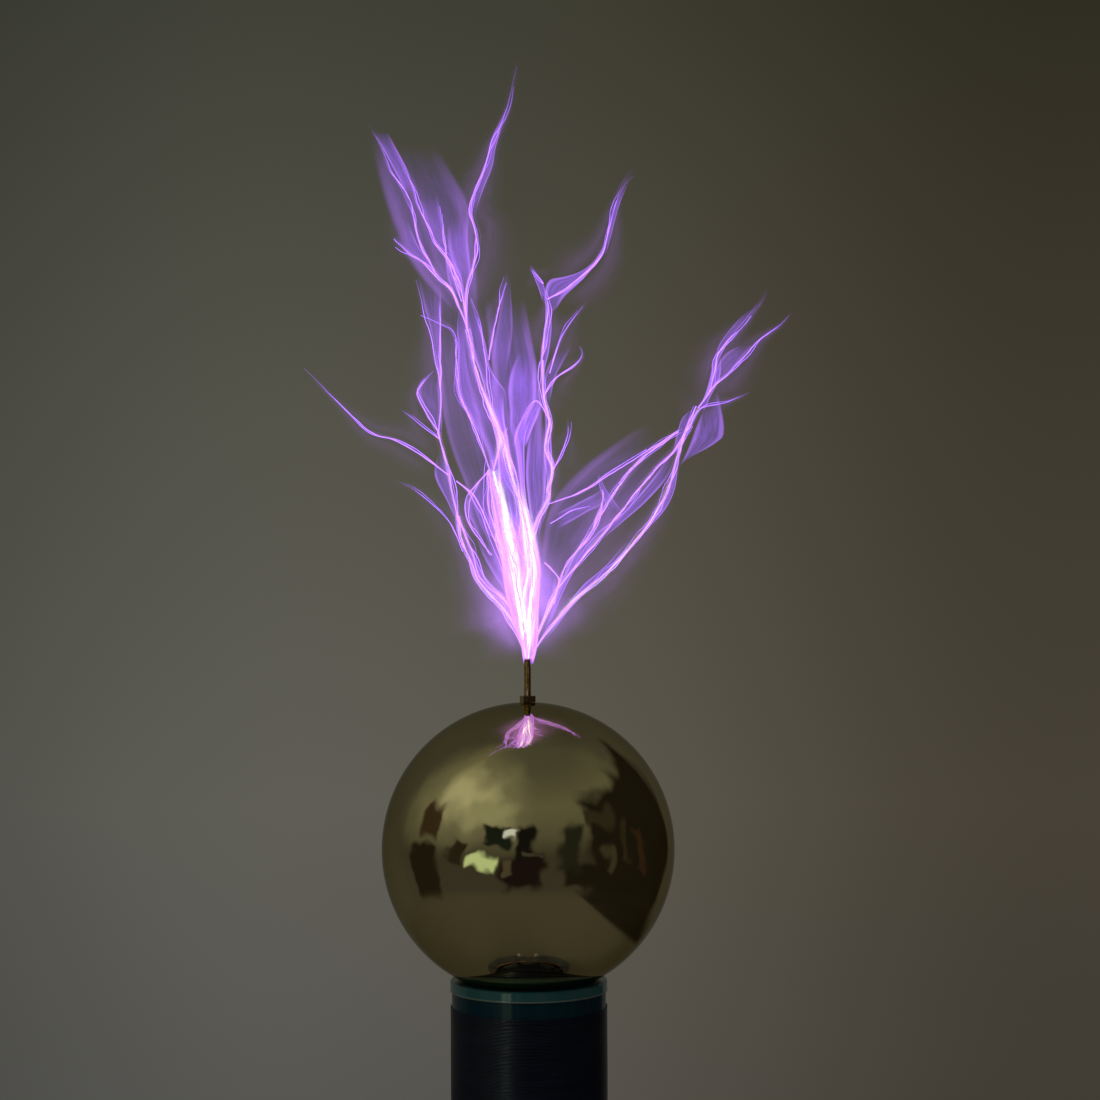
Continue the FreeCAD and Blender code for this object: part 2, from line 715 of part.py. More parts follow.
def make_supports():
    low = deck_top
    high = deck_top + primary_lift + primary_pitch * primary_turns + support_margin
    supports = []
    screws = []
    for degrees, facing in support_angles():
        near = primary_radius - support_reach
        far = primary_radius + support_reach
        rib = box(near, far, -support_thickness / 2, support_thickness / 2, low, high)
        top = [e for e in rib.Edges
               if e.BoundBox.ZMin > high - 0.01 and e.BoundBox.YLength > support_thickness - 0.1]
        rib = rib.makeFillet(4.0, top)
        foot = box(near, far, -support_foot / 2, support_foot / 2, low, low + support_foot_height)
        rib = united(rib, foot)
        depth = low + support_foot_height - 1
        holes = [cylinder(support_screw + turn_gap, low - 1, depth, primary_radius, 0)]
        for turn in range(primary_turns + 1):
            z = deck_top + primary_lift + primary_pitch * (turn + degrees / 360.0)
            if z < high - primary_wire:
                holes.append(cylinder_y(primary_wire / 2 + 0.4, -10, 10, primary_radius, z))
        supports.append(turned(rib.cut(holes), facing))
        screw = moved(pan_screw(support_screw, support_foot_height + deck_thickness - 2, 2.7, 1.6),
                      primary_radius, 0, deck_under)
        screws.append(turned(screw, facing))
    write("primary_supports", *supports)
    write("support_screws", *screws)


def make_primary():
    """The winding is a helix whose two ends run on along their tangent to the terminal posts."""
    height = primary_pitch * primary_turns
    start_z = deck_top + primary_lift
    helix = Part.makeHelix(primary_pitch, height, primary_radius)
    helix.translate(Vector(0, 0, start_z))
    rise = primary_pitch / (2 * math.pi * primary_radius)
    run = primary_tail - post_radius - slip
    start = Vector(primary_radius, 0, start_z)
    far = start - Vector(0, 1, rise) * run
    first = Part.LineSegment(far, start).toShape()
    end = Vector(primary_radius, 0, start_z + height)
    last = Part.LineSegment(end, end + Vector(0, 1, rise) * run).toShape()
    path = Part.Wire([first] + helix.Edges + [last])
    ring = Part.Wire(Part.Circle(far, Vector(0, 1, rise), primary_wire / 2).toShape())
    coil = path.makePipeShell([ring], True, True)
    section = math.pi * (primary_wire / 2) ** 2
    print("primary: volume over section times length =", round(coil.Volume / (section * path.Length), 4))
    write("primary_coil", turned(coil, primary_facing))

    posts = []
    nuts = []
    heights = (start_z - rise * run, start_z + height + rise * run)
    for (x, y), z in zip(post_places(), heights):
        post = united(cylinder(post_radius, deck_top, z + 5, x, y),
                      cylinder(post_radius / 2, deck_under - post_stud, deck_top, x, y))
        top = [e for e in post.Edges if e.BoundBox.ZMin > z + 4.9]
        posts.append(post.makeFillet(1.0, top))
        nut = hexagon(7.0, 3.0).cut(cylinder(post_radius / 2, -1, 4))
        nuts.append(moved(nut, x, y, deck_under - 3.0))
    write("primary_posts", *posts)
    write("post_nuts", *nuts)


# ---- column -------------------------------------------------------------------------------------
contact_radius = 2.0
flange_height = 8.0
top_bolt_radius = 4.0
web_thickness = 4.0
web_gap = 1.8                # ball's lowest point above the cap's web


def make_column():
    tube_low = deck_top + flange_height
    tube_high = rim_top - cap_rim
    write("coil_former", tube(former_radius, former_bore, tube_low, tube_high))
    winding = tube(column_radius, former_radius, tube_low + bare_foot, tube_high - bare_band)
    write("secondary_winding", winding)

    spigot = former_bore - spigot_clearance
    spigot_low = deck_top - socket_depth + 0.5
    plug = united(cylinder(column_radius, deck_top, tube_low),
                  cylinder(spigot, tube_low, tube_low + spigot_depth),
                  cylinder(socket_bore - slip, spigot_low, deck_top))
    hollow = cylinder(spigot - former_wall, tube_low + 2, tube_low + spigot_depth + 1)
    plug = plug.cut([hollow, cylinder(contact_radius + slip, 0, tube_low + 3)])
    write("column_foot", plug)

    floor_low = deck_top - socket_depth - socket_floor
    rod = united(cylinder(contact_radius, floor_low - 8, tube_low + 10),
                 cylinder(contact_radius + 2.0, spigot_low - 1.5, spigot_low))
    tip = [e for e in rod.Edges if e.BoundBox.ZMax < floor_low - 7.9]
    write("ground_plug", rod.makeFillet(0.9, tip))

    # the cap: a rim the tube's size, a spigot inside the tube, and a web that carries the bolt
    ball_low = ball_z - ball_radius
    web_top = ball_low - web_gap
    web_low = web_top - web_thickness
    hole = top_bolt_radius + slip
    inner = former_bore - former_wall
    outline = [(hole, web_low), (spigot, web_low), (spigot, tube_high), (column_radius, tube_high),
               (column_radius, rim_top - 0.6), (column_radius - 0.6, rim_top), (inner, rim_top),
               (inner, web_top), (hole, web_top)]
    cap = revolved(outline).cut(Part.makeSphere(ball_radius + seat_gap, Vector(0, 0, ball_z)))
    write("top_cap", cap)

    head = moved(hexagon(13.0, 5.3), 0, 0, web_low - 5.3)
    bolt = united(head, cylinder(top_bolt_radius, web_low, ball_low + 16))
    tip = [e for e in bolt.Edges if e.BoundBox.ZMin > ball_low + 15.9]
    write("ball_bolt", bolt.makeChamfer(0.8, tip))


# ---- ball terminal ------------------------------------------------------------------------------
lower_boss_radius = 11.0
lower_boss_height = 14.0
upper_boss_radius = 7.0
upper_boss_height = 10.0


def make_ball():
    centre = Vector(0, 0, ball_z)
    shell = Part.makeSphere(ball_radius, centre).cut(Part.makeSphere(ball_radius - ball_wall, centre))
    low = ball_z - ball_radius
    shell = shell.cut([cylinder(top_bolt_radius + 1.0, low - 1, low + 4),
                       cylinder(pin_radius + 0.6, ball_top - 4, ball_top + 1)])
    write("ball_shell", shell)

    inside = Part.makeSphere(ball_radius - ball_wall - 0.05, centre)
    lower = cylinder(lower_boss_radius, low, low + lower_boss_height).common(inside)
    lower = lower.cut(cylinder(top_bolt_radius + slip, low - 1, low + lower_boss_height + 3))
    upper = cylinder(upper_boss_radius, ball_top - upper_boss_height, ball_top).common(inside)
    upper = upper.cut(cylinder(pin_radius + turn_gap, ball_top - upper_boss_height - 1, ball_top + 1))
    write("ball_bosses", lower, upper)

    nut = hexagon(nut_flats, nut_height)
    corner = nut_flats / math.sqrt(3)
    bevel = Part.makeCone(corner + 2.2, corner - 0.5, nut_height + 0.6, Vector(0, 0, 0))
    nut = nut.common(bevel).cut(cylinder(pin_radius + turn_gap, -1, nut_height + 1))
    write("pin_locknut", moved(nut, 0, 0, ball_top + turn_gap))

    pin = cylinder(pin_radius, ball_top - pin_in_ball, pin_tip)
    ends = [e for e in pin.Edges if e.BoundBox.ZMin > pin_tip - 0.01]
    pin = pin.makeChamfer(0.5, ends)
    write("discharge_pin", pin)


# ---- the discharge ------------------------------------------------------------------------------
streamer_bead = 1.9
streamer_root = 0.5
streamer_end = 0.25
streamer_sides = 6

# Each streamer runs from the pin's tip: (x, y, height above the tip). The left ones lean to the front
# before they turn back, and the right ones lean to the rear.
streamers = {
    "tall_left": [
        (-1.6, 1.2, 0.6), (-4, -8, 30), (-7, -20, 60), (-14, -28, 95), (-24, -26, 124),
        (-30, -14, 154), (-33, -4, 181), (-42, 2, 194), (-53, 8, 207), (-59, 22, 243), (-72, 38, 263),
        (-83, 52, 280)],
    "tallest": [
        (-0.4, -1.2, 0.6), (-1, -18, 30), (-3, -36, 60), (-8, -50, 94), (-14, -44, 120),
        (-23, -30, 145), (-29, -14, 171), (-31, -2, 194), (-27, 5, 210), (-28, 10, 233),
        (-20, 14, 254), (-15, 18, 276), (-8, 20, 290), (-4, 22, 312)],
    "middle": [
        (0.9, 1.4, 0.6), (3, 6, 30), (6, 12, 60), (12, 17, 88), (12, 21, 113), (8, 24, 135),
        (9, 26, 157), (10, 28, 193), (28, 31, 203), (39, 33, 216), (45, 35, 233), (50, 37, 246),
        (62, 40, 261)],
    "right": [
        (1.7, -0.8, 0.6), (9, 5, 20), (17, 12, 35), (33, 26, 66), (51, 40, 91), (80, 56, 119),
        (93, 66, 134), (103, 74, 161), (124, 84, 184), (133, 90, 200)],
    "far_right": [
        (1.9, 0.6, 0.6), (10, 8, 17), (38, 24, 43), (52, 34, 56), (65, 42, 74), (75, 50, 89),
        (80, 56, 108), (92, 62, 128), (103, 68, 148), (118, 76, 162), (132, 84, 176), (146, 88, 187)],
    "left": [
        (-1.7, -0.9, 0.6), (-7, -4, 22), (-17, -9, 34), (-27, -16, 46), (-32, -22, 63), (-37, -28, 79),
        (-41, -32, 96), (-44, -34, 114), (-44, -32, 148), (-48, -28, 168), (-56, -24, 191)],
    "far_left": [
        (-41, -32, 96), (-63, -38, 111), (-80, -42, 117), (-101, -46, 134), (-110, -48, 148)],
}


def streamer(points):
    """A thin tapering tube with flat sides through the points."""
    count = len(points)
    rings = []
    for k, (x, y, z) in enumerate(points):
        here = Vector(x, y, z + pin_tip)
        before = Vector(*points[max(k - 1, 0)])
        after = Vector(*points[min(k + 1, count - 1)])
        along = (after - before).normalize()
        side = along.cross(Vector(0, 1, 0)).normalize()
        up = side.cross(along)
        radius = streamer_root + (streamer_end - streamer_root) * k / (count - 1)
        ring = []
        for s in range(streamer_sides):
            angle = 2 * math.pi * s / streamer_sides
            ring.append(here + side * (radius * math.cos(angle)) + up * (radius * math.sin(angle)))
        rings.append(ring)
    faces = [flat_face(rings[0]), flat_face(rings[-1])]
    for near, far in zip(rings, rings[1:]):
        for s in range(streamer_sides):
            t = (s + 1) % streamer_sides
            faces.append(flat_face([near[s], near[t], far[t]]))
            faces.append(flat_face([near[s], far[t], far[s]]))
    solid = Part.Solid(Part.Shell(faces))
    if solid.Volume < 0:
        solid.reverse()
    return solid


def flat_face(points):
    return Part.Face(Part.makePolygon(list(points) + [points[0]]))


def make_discharge():
    """One branching solid that grows from a small bead on the pin's tip."""
    bead = Part.makeSphere(streamer_bead, Vector(0, 0, pin_tip))
    grown = bead.common(cylinder(streamer_bead + 1, pin_tip, pin_tip + streamer_bead + 1))
    for points in streamers.values():
        grown = grown.fuse(streamer(points))
    write("streamers", grown)


os.makedirs("parts", exist_ok=True)
make_feet_and_plate()
make_housing()
make_front()
make_rear()
make_ground_terminal()
make_driver()
make_socket()
make_supports()
make_primary()
make_column()
make_ball()
make_discharge()
print("ball centre", round(ball_z, 2), "ball top", round(ball_top, 2), "pin tip", round(pin_tip, 2))
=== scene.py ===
import bpy, bmesh, json, math
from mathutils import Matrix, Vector, noise


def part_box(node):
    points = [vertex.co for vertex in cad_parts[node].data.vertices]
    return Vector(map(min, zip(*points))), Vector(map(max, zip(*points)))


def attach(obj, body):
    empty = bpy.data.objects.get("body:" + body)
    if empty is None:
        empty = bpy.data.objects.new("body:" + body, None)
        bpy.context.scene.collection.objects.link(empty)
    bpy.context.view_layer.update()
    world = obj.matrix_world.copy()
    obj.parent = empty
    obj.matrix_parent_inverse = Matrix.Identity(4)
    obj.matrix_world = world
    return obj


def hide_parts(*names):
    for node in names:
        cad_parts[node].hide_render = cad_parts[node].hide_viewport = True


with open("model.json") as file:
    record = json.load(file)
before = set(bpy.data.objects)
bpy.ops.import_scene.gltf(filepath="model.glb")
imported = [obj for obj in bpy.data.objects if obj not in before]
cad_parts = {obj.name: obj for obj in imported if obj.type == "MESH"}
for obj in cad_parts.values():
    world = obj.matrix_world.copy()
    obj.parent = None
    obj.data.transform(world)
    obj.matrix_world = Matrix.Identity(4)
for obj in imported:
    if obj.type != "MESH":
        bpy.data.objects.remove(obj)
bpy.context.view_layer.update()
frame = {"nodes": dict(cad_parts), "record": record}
nodes = frame["nodes"]
record = frame["record"]
mm = 0.001
print("stage: frame loaded,", len(nodes), "nodes")

ballLow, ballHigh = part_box("ball_shell")
ballRadius = (ballHigh.x - ballLow.x) / 2
ballCentre = Vector((0, 0, ballHigh.z - ballRadius))
pinLow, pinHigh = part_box("discharge_pin")
tip = Vector((0, 0, pinHigh.z))


# small helpers
def addNode(tree, kind, inputs=None, **settings):
    node = tree.nodes.new(kind)
    for key, value in settings.items():
        setattr(node, key, value)
    for key, value in (inputs or {}).items():
        socket = node.inputs[key]
        if isinstance(value, bpy.types.NodeSocket):
            tree.links.new(value, socket)
        else:
            socket.default_value = value
    return node


def firstOf(tree, kind, inputs=None, **settings):
    return addNode(tree, kind, inputs, **settings).outputs[0]


def maths(tree, operation, a, b=0.0, clamp=False):
    return firstOf(tree, "ShaderNodeMath", {0: a, 1: b}, operation=operation, use_clamp=clamp)


def times(tree, a, b, clamp=False):
    return maths(tree, "MULTIPLY", a, b, clamp)


def plus(tree, a, b, clamp=False):
    return maths(tree, "ADD", a, b, clamp)


def minus(tree, a, b, clamp=False):
    return maths(tree, "SUBTRACT", a, b, clamp)


def noiseOf(tree, place, scale, detail, output=0, **more):
    return addNode(tree, "ShaderNodeTexNoise",
                   {"Vector": place, "Scale": scale, "Detail": detail, **more}).outputs[output]


def objectPlace(tree):
    return addNode(tree, "ShaderNodeTexCoord").outputs["Object"]


def setInputs(node, **values):
    for key, value in values.items():
        node.inputs[key.replace("_", " ")].default_value = value


def ease(tree, value, low, high, outLow=0.0, outHigh=1.0):
    return firstOf(tree, "ShaderNodeMapRange",
                   {"Value": value, "From Min": low, "From Max": high, "To Min": outLow, "To Max": outHigh},
                   interpolation_type="SMOOTHSTEP")


def mixColour(tree, factor, a, b, blend="MIX"):
    node = addNode(tree, "ShaderNodeMix", {0: factor, 6: a, 7: b}, data_type="RGBA", blend_type=blend)
    return node.outputs[2]


def rgba(colour):
    return (*colour, 1.0)


def newGroup(name, inputs, outputs):
    tree = bpy.data.node_groups.new(name, "ShaderNodeTree")
    for label, kind, value in inputs:
        socket = tree.interface.new_socket(label, in_out="INPUT", socket_type="NodeSocket" + kind)
        if value is not None:
            socket.default_value = value
    for label, kind in outputs:
        tree.interface.new_socket(label, in_out="OUTPUT", socket_type="NodeSocket" + kind)
    return tree, tree.nodes.new("NodeGroupInput").outputs, tree.nodes.new("NodeGroupOutput").inputs


def useGroup(tree, group, **inputs):
    node = tree.nodes.new("ShaderNodeGroup")
    node.node_tree = group
    for key, value in inputs.items():
        if isinstance(value, bpy.types.NodeSocket):
            tree.links.new(value, node.inputs[key])
        else:
            node.inputs[key].default_value = value
    return node


def meshObject(name, mesh, smooth=True):
    if smooth:
        mesh.polygons.foreach_set("use_smooth", [True] * len(mesh.polygons))
    piece = bpy.data.objects.new(name, mesh)
    bpy.context.scene.collection.objects.link(piece)
    return piece


def lathe(name, profile, segments):
    # turns a closed profile of (radius, height) points round the Z axis
    mesh = bpy.data.meshes.new(name)
    points, faces, rings = [], [], []
    for radius, height in profile:
        if radius < 1e-7:
            rings.append([len(points)] * segments)
            points.append((0, 0, height))
        else:
            rings.append(list(range(len(points), len(points) + segments)))
            for k in range(segments):
                a = 2 * math.pi * k / segments
                points.append((radius * math.cos(a), radius * math.sin(a), height))
    for low, high in zip(rings, rings[1:] + rings[:1]):
        for k in range(segments):
            n = (k + 1) % segments
            corners = [low[k], low[n], high[n], high[k]]
            single = [c for i, c in enumerate(corners) if c not in corners[:i]]
            if len(single) > 2:
                faces.append(single)
    mesh.from_pydata(points, [], faces)
    mesh.validate()
    tidy = bmesh.new()
    tidy.from_mesh(mesh)
    bmesh.ops.recalc_face_normals(tidy, faces=tidy.faces)
    tidy.to_mesh(mesh)
    tidy.free()
    return meshObject(name, mesh)


# effects shared by the finishes
def makeFineGrain():
    tree, given, out = newGroup("fineGrain", [("Vector", "Vector", None), ("Scale", "Float", 400.0)],
                                [("Grain", "Float"), ("Coarse", "Float")])
    fine = noiseOf(tree, given["Vector"], given["Scale"], 5.0, Roughness=0.6)
    coarse = noiseOf(tree, given["Vector"], times(tree, given["Scale"], 0.06), 3.0)
    tree.links.new(fine, out["Grain"])
    tree.links.new(ease(tree, coarse, 0.3, 0.7), out["Coarse"])
    return tree


def makeHandlingMarks():
    tree, given, out = newGroup("handlingMarks", [("Vector", "Vector", None), ("Scale", "Float", 20.0)],
                                [("Smudges", "Float"), ("Scratches", "Float")])
    smudge = noiseOf(tree, given["Vector"], given["Scale"], 4.0, Distortion=0.6)
    line = noiseOf(tree, given["Vector"], times(tree, given["Scale"], 1.7), 1.0, Distortion=1.5)
    away = maths(tree, "ABSOLUTE", minus(tree, line, 0.5))
    tree.links.new(ease(tree, smudge, 0.42, 0.72), out["Smudges"])
    tree.links.new(ease(tree, away, 0.0, 0.006, 1.0, 0.0), out["Scratches"])
    return tree


def makeEdgeWear():
    tree, given, out = newGroup("edgeWear", [("Vector", "Vector", None), ("Radius", "Float", 0.0006)],
                                [("Wear", "Float")])
    rounded = addNode(tree, "ShaderNodeBevel", {"Radius": given["Radius"]}, samples=4)
    flat = addNode(tree, "ShaderNodeNewGeometry")
    turn = addNode(tree, "ShaderNodeVectorMath", {0: rounded.outputs[0], 1: flat.outputs["Normal"]},
                   operation="DOT_PRODUCT").outputs["Value"]
    chips = noiseOf(tree, given["Vector"], 350.0, 4.0)
    edge = ease(tree, turn, 0.985, 0.86)
    tree.links.new(times(tree, edge, ease(tree, chips, 0.38, 0.6)), out["Wear"])
    return tree


def makeDustFilm():
    tree, given, out = newGroup("dustFilm", [("Vector", "Vector", None)], [("Dust", "Float")])
    normal = addNode(tree, "ShaderNodeNewGeometry").outputs["Normal"]
    up = addNode(tree, "ShaderNodeSeparateXYZ", {0: normal})
    specks = noiseOf(tree, given["Vector"], 900.0, 3.0)
    film = noiseOf(tree, given["Vector"], 25.0, 4.0)
    lying = times(tree, ease(tree, up.outputs["Z"], 0.4, 0.95), ease(tree, film, 0.3, 0.7))
    tree.links.new(times(tree, lying, ease(tree, specks, 0.45, 0.7)), out["Dust"])
    return tree


fineGrain = makeFineGrain()
handlingMarks = makeHandlingMarks()
edgeWear = makeEdgeWear()
dustFilm = makeDustFilm()


def startMaterial(name):
    material = bpy.data.materials.new(name)
    material.use_nodes = True
    tree = material.node_tree
    shader = tree.nodes["Principled BSDF"]
    return material, tree, shader


# one line for each finish: colours, roughness range, metal, grain size and depth, how worn and dusty it is
finishes = {
    "rubber": dict(colour=(0.018, 0.018, 0.019), second=(0.045, 0.044, 0.042), rough=(0.62, 0.85),
                   grain=700, depth=0.00012, dust=0.35, spec=0.3),
    "housing_paint": dict(colour=(0.016, 0.018, 0.022), second=(0.028, 0.031, 0.036), rough=(0.38, 0.55),
                          grain=1300, depth=0.00009, wear=0.7, wearColour=(0.42, 0.42, 0.42), dust=0.18),
    "plate_steel": dict(colour=(0.42, 0.43, 0.44), second=(0.52, 0.53, 0.53), rough=(0.3, 0.48), metal=1.0,
                        grain=500, depth=0.00003, brush=(1, 30, 30)),
    "screw_steel": dict(colour=(0.16, 0.16, 0.165), second=(0.24, 0.24, 0.24), rough=(0.24, 0.42),
                        metal=1.0, grain=1500, depth=0.00002, wear=0.8, wearColour=(0.6, 0.6, 0.6)),
    "panel_aluminium": dict(colour=(0.05, 0.052, 0.056), second=(0.075, 0.077, 0.08), rough=(0.32, 0.5),
                            metal=0.85, grain=260, depth=0.00002, brush=(1, 24, 24), wear=0.9,
                            wearColour=(0.7, 0.7, 0.7), dust=0.1),
    "knob_aluminium": dict(colour=(0.62, 0.63, 0.64), second=(0.72, 0.72, 0.72), rough=(0.16, 0.34),
                           metal=1.0, grain=700, depth=0.00002, brush=(30, 1, 30), wear=0.6,
                           wearColour=(0.85, 0.85, 0.85)),
    "black_plastic": dict(colour=(0.014, 0.014, 0.015), second=(0.022, 0.022, 0.023), rough=(0.34, 0.52),
                          grain=1800, depth=0.00004, wear=0.35, wearColour=(0.08, 0.08, 0.08), dust=0.2),
    "button_red": dict(colour=(0.42, 0.012, 0.014), second=(0.5, 0.03, 0.02), rough=(0.22, 0.36),
                       grain=1500, depth=0.00002, coat=0.3),
    "lamp_lens": dict(colour=(0.12, 0.5, 0.2), second=(0.16, 0.62, 0.26), rough=(0.06, 0.14), grain=900,
                      depth=0.00001, coat=0.5),
    "board": dict(colour=(0.008, 0.07, 0.03), second=(0.012, 0.1, 0.045), rough=(0.3, 0.42), grain=900,
                  depth=0.00003, coat=0.4),
    "brass": dict(colour=(0.5, 0.37, 0.15), second=(0.62, 0.47, 0.21), rough=(0.14, 0.34), metal=1.0,
                  grain=900, depth=0.00002, wear=0.5, wearColour=(0.8, 0.64, 0.34)),
    "sink_aluminium": dict(colour=(0.03, 0.03, 0.032), second=(0.05, 0.05, 0.052), rough=(0.4, 0.55),
                           metal=0.7, grain=900, depth=0.00002, dust=0.3),
    "capacitor_sleeve": dict(colour=(0.01, 0.02, 0.08), second=(0.015, 0.03, 0.11), rough=(0.2, 0.32),
                             grain=500, depth=0.00001, coat=0.4),
    "film_box": dict(colour=(0.3, 0.22, 0.03), second=(0.38, 0.27, 0.05), rough=(0.3, 0.45), grain=800,
                     depth=0.00002),
    "ferrite": dict(colour=(0.03, 0.03, 0.032), second=(0.05, 0.05, 0.05), rough=(0.5, 0.7), grain=1500,
                    depth=0.00005),
    "glass": dict(colour=(0.9, 0.93, 0.92), second=(0.95, 0.96, 0.95), rough=(0.02, 0.08), grain=300,
                  depth=0.0, transmission=0.9),
    "former_acrylic": dict(colour=(0.0005, 0.0042, 0.0062), second=(0.0008, 0.0062, 0.0086),
                           rough=(0.08, 0.2), grain=300, depth=0.00001, coat=0.08, spec=0.2),
    "support_acrylic": dict(colour=(0.012, 0.013, 0.015), second=(0.02, 0.021, 0.024), rough=(0.12, 0.26),
                            grain=300, depth=0.00001, coat=0.5),
    "copper": dict(colour=(0.62, 0.27, 0.15), second=(0.72, 0.36, 0.21), rough=(0.16, 0.34), metal=1.0,
                   grain=600, depth=0.00002, coat=0.35),
    "socket_plastic": dict(colour=(0.02, 0.02, 0.021), second=(0.032, 0.032, 0.033), rough=(0.35, 0.5),
                           grain=1400, depth=0.00003, dust=0.3),
}


def makeFinish(name, colour, second, rough, grain, depth, metal=0.0, wear=0.0, wearColour=(0.5, 0.5, 0.5),
               dust=0.0, coat=0.0, transmission=0.0, spec=0.5, brush=None):
    material, tree, shader = startMaterial(name)
    place = objectPlace(tree)
    grainPlace = place
    if brush:
        grainPlace = firstOf(tree, "ShaderNodeMapping", {"Vector": place, "Scale": brush})
    grains = useGroup(tree, fineGrain, Vector=grainPlace, Scale=float(grain if not brush else grain / 8))
    marks = useGroup(tree, handlingMarks, Vector=place, Scale=28.0)
    tone = mixColour(tree, grains.outputs["Coarse"], rgba(colour), rgba(second))
    if wear:
        worn = useGroup(tree, edgeWear, Vector=place, Radius=0.0005)
        tone = mixColour(tree, times(tree, worn.outputs["Wear"], wear), tone, rgba(wearColour))
    if dust:
        film = useGroup(tree, dustFilm, Vector=place)
        tone = mixColour(tree, times(tree, film.outputs["Dust"], dust), tone, rgba((0.3, 0.29, 0.27)))
    tree.links.new(tone, shader.inputs["Base Color"])
    gloss = plus(tree, times(tree, grains.outputs["Grain"], 0.6),
                  times(tree, marks.outputs["Smudges"], 0.5))
    gloss = plus(tree, gloss, times(tree, marks.outputs["Scratches"], 0.3))
    tree.links.new(ease(tree, gloss, 0.15, 0.95, rough[0], rough[1]), shader.inputs["Roughness"])
    if depth:
        bump = addNode(tree, "ShaderNodeBump", {"Height": grains.outputs["Grain"], "Distance": depth,
                                                "Strength": 0.6})
        tree.links.new(bump.outputs[0], shader.inputs["Normal"])
    setInputs(shader, Metallic=metal, Coat_Weight=coat, Coat_Roughness=0.08,
              Transmission_Weight=transmission, Specular_IOR_Level=spec)
    return material


made = {name: makeFinish(name, **spec) for name, spec in finishes.items()}


# mirror brass for the ball, dark varnish for the winding, teal acrylic for the cap
mirrorBrass = {"colour": (0.66, 0.575, 0.335), "tarnish": (0.5, 0.42, 0.22), "polish": 0.035,
               "smudged": 0.13, "edgeTint": (0.62, 0.6, 0.5)}
varnishedWire = {"colour": (0.0004, 0.0010, 0.0034), "second": (0.0008, 0.0018, 0.0056),
                 "rough": (0.3, 0.46), "coat": 0.05, "coatRough": 0.2, "spec": 0.28}
# the edge colour is a painted highlight for the bead at the cap's joint
tealAcrylic = {"colour": (0.0045, 0.0190, 0.0200), "second": (0.0062, 0.0250, 0.0250), "rough": (0.09, 0.2),
               "edge": (0.02, 0.027, 0.022)}


def makeMirrorBrass():
    material, tree, shader = startMaterial("mirrorBrass")
    place = objectPlace(tree)
    marks = useGroup(tree, handlingMarks, Vector=place, Scale=16.0)
    hazed = noiseOf(tree, place, 9.0, 3.0)
    tone = mixColour(tree, ease(tree, hazed, 0.4, 0.75), rgba(mirrorBrass["colour"]),
                     rgba(mirrorBrass["tarnish"]))
    tree.links.new(tone, shader.inputs["Base Color"])
    worn = plus(tree, times(tree, marks.outputs["Smudges"], 0.6),
                 times(tree, marks.outputs["Scratches"], 0.5))
    tree.links.new(ease(tree, worn, 0.0, 1.2, mirrorBrass["polish"], mirrorBrass["smudged"]),
                   shader.inputs["Roughness"])
    # the slight ripple that spinning leaves
    ripple = noiseOf(tree, place, 38.0, 2.0)
    bump = addNode(tree, "ShaderNodeBump", {"Height": ripple, "Distance": 0.00006, "Strength": 0.5})
    tree.links.new(bump.outputs[0], shader.inputs["Normal"])
    setInputs(shader, Metallic=1.0, Specular_Tint=rgba(mirrorBrass["edgeTint"]))
    return material


def makeVarnishedWire():
    material, tree, shader = startMaterial("magnet_wire")
    place = objectPlace(tree)
    bands = firstOf(tree, "ShaderNodeMapping", {"Vector": place, "Scale": (0.06, 0.06, 1.0)})
    turns = noiseOf(tree, bands, 500.0, 3.0)
    tree.links.new(mixColour(tree, ease(tree, turns, 0.3, 0.7), rgba(varnishedWire["colour"]),
                             rgba(varnishedWire["second"])), shader.inputs["Base Color"])
    marks = useGroup(tree, handlingMarks, Vector=place, Scale=22.0)
    tree.links.new(ease(tree, marks.outputs["Smudges"], 0.0, 1.0, *varnishedWire["rough"]),
                   shader.inputs["Roughness"])
    runs = noiseOf(tree, place, 60.0, 2.0)
    bump = addNode(tree, "ShaderNodeBump", {"Height": runs, "Distance": 0.0004, "Strength": 0.4})
    tree.links.new(bump.outputs[0], shader.inputs["Normal"])
    setInputs(shader, Specular_IOR_Level=varnishedWire["spec"], Coat_Weight=varnishedWire["coat"],
              Coat_Roughness=varnishedWire["coatRough"])
    return material


def makeTealAcrylic(name, colour, second, rough, coat):
    material, tree, shader = startMaterial(name)
    place = objectPlace(tree)
    cloud = noiseOf(tree, place, 30.0, 3.0)
    tree.links.new(mixColour(tree, ease(tree, cloud, 0.35, 0.65), rgba(colour), rgba(second)),
                   shader.inputs["Base Color"])
    marks = useGroup(tree, handlingMarks, Vector=place, Scale=34.0)
    both = plus(tree, marks.outputs["Smudges"], marks.outputs["Scratches"], clamp=True)
    tree.links.new(ease(tree, both, 0.0, 1.0, *rough), shader.inputs["Roughness"])
    setInputs(shader, Coat_Weight=coat, Coat_Roughness=0.05)
    return material


made["ball_brass"] = makeMirrorBrass()
made["magnet_wire"] = makeVarnishedWire()
made["cap_acrylic"] = makeTealAcrylic("cap_acrylic", tealAcrylic["colour"], tealAcrylic["second"],
                                      tealAcrylic["rough"], 0.5)
# the bead's paler, greyer colour is a painted highlight line along the cap's joint
beadHighlightTint = makeTealAcrylic("beadHighlightTint", tealAcrylic["edge"], (0.028, 0.034, 0.028), (0.22, 0.36), 0.2)


# glowing air
airGlow = {"cool": (0.2, 0.078, 0.56), "violet": (0.45, 0.19, 0.86), "pink": (0.93, 0.58, 1.0),
           "pale": (1.0, 0.84, 1.0), "white": (1.0, 1.0, 1.0), "wideHeat": 0.3,
           "coreStrength": 5.0, "hazeStrength": 5.0, "veilStrength": 3.2}


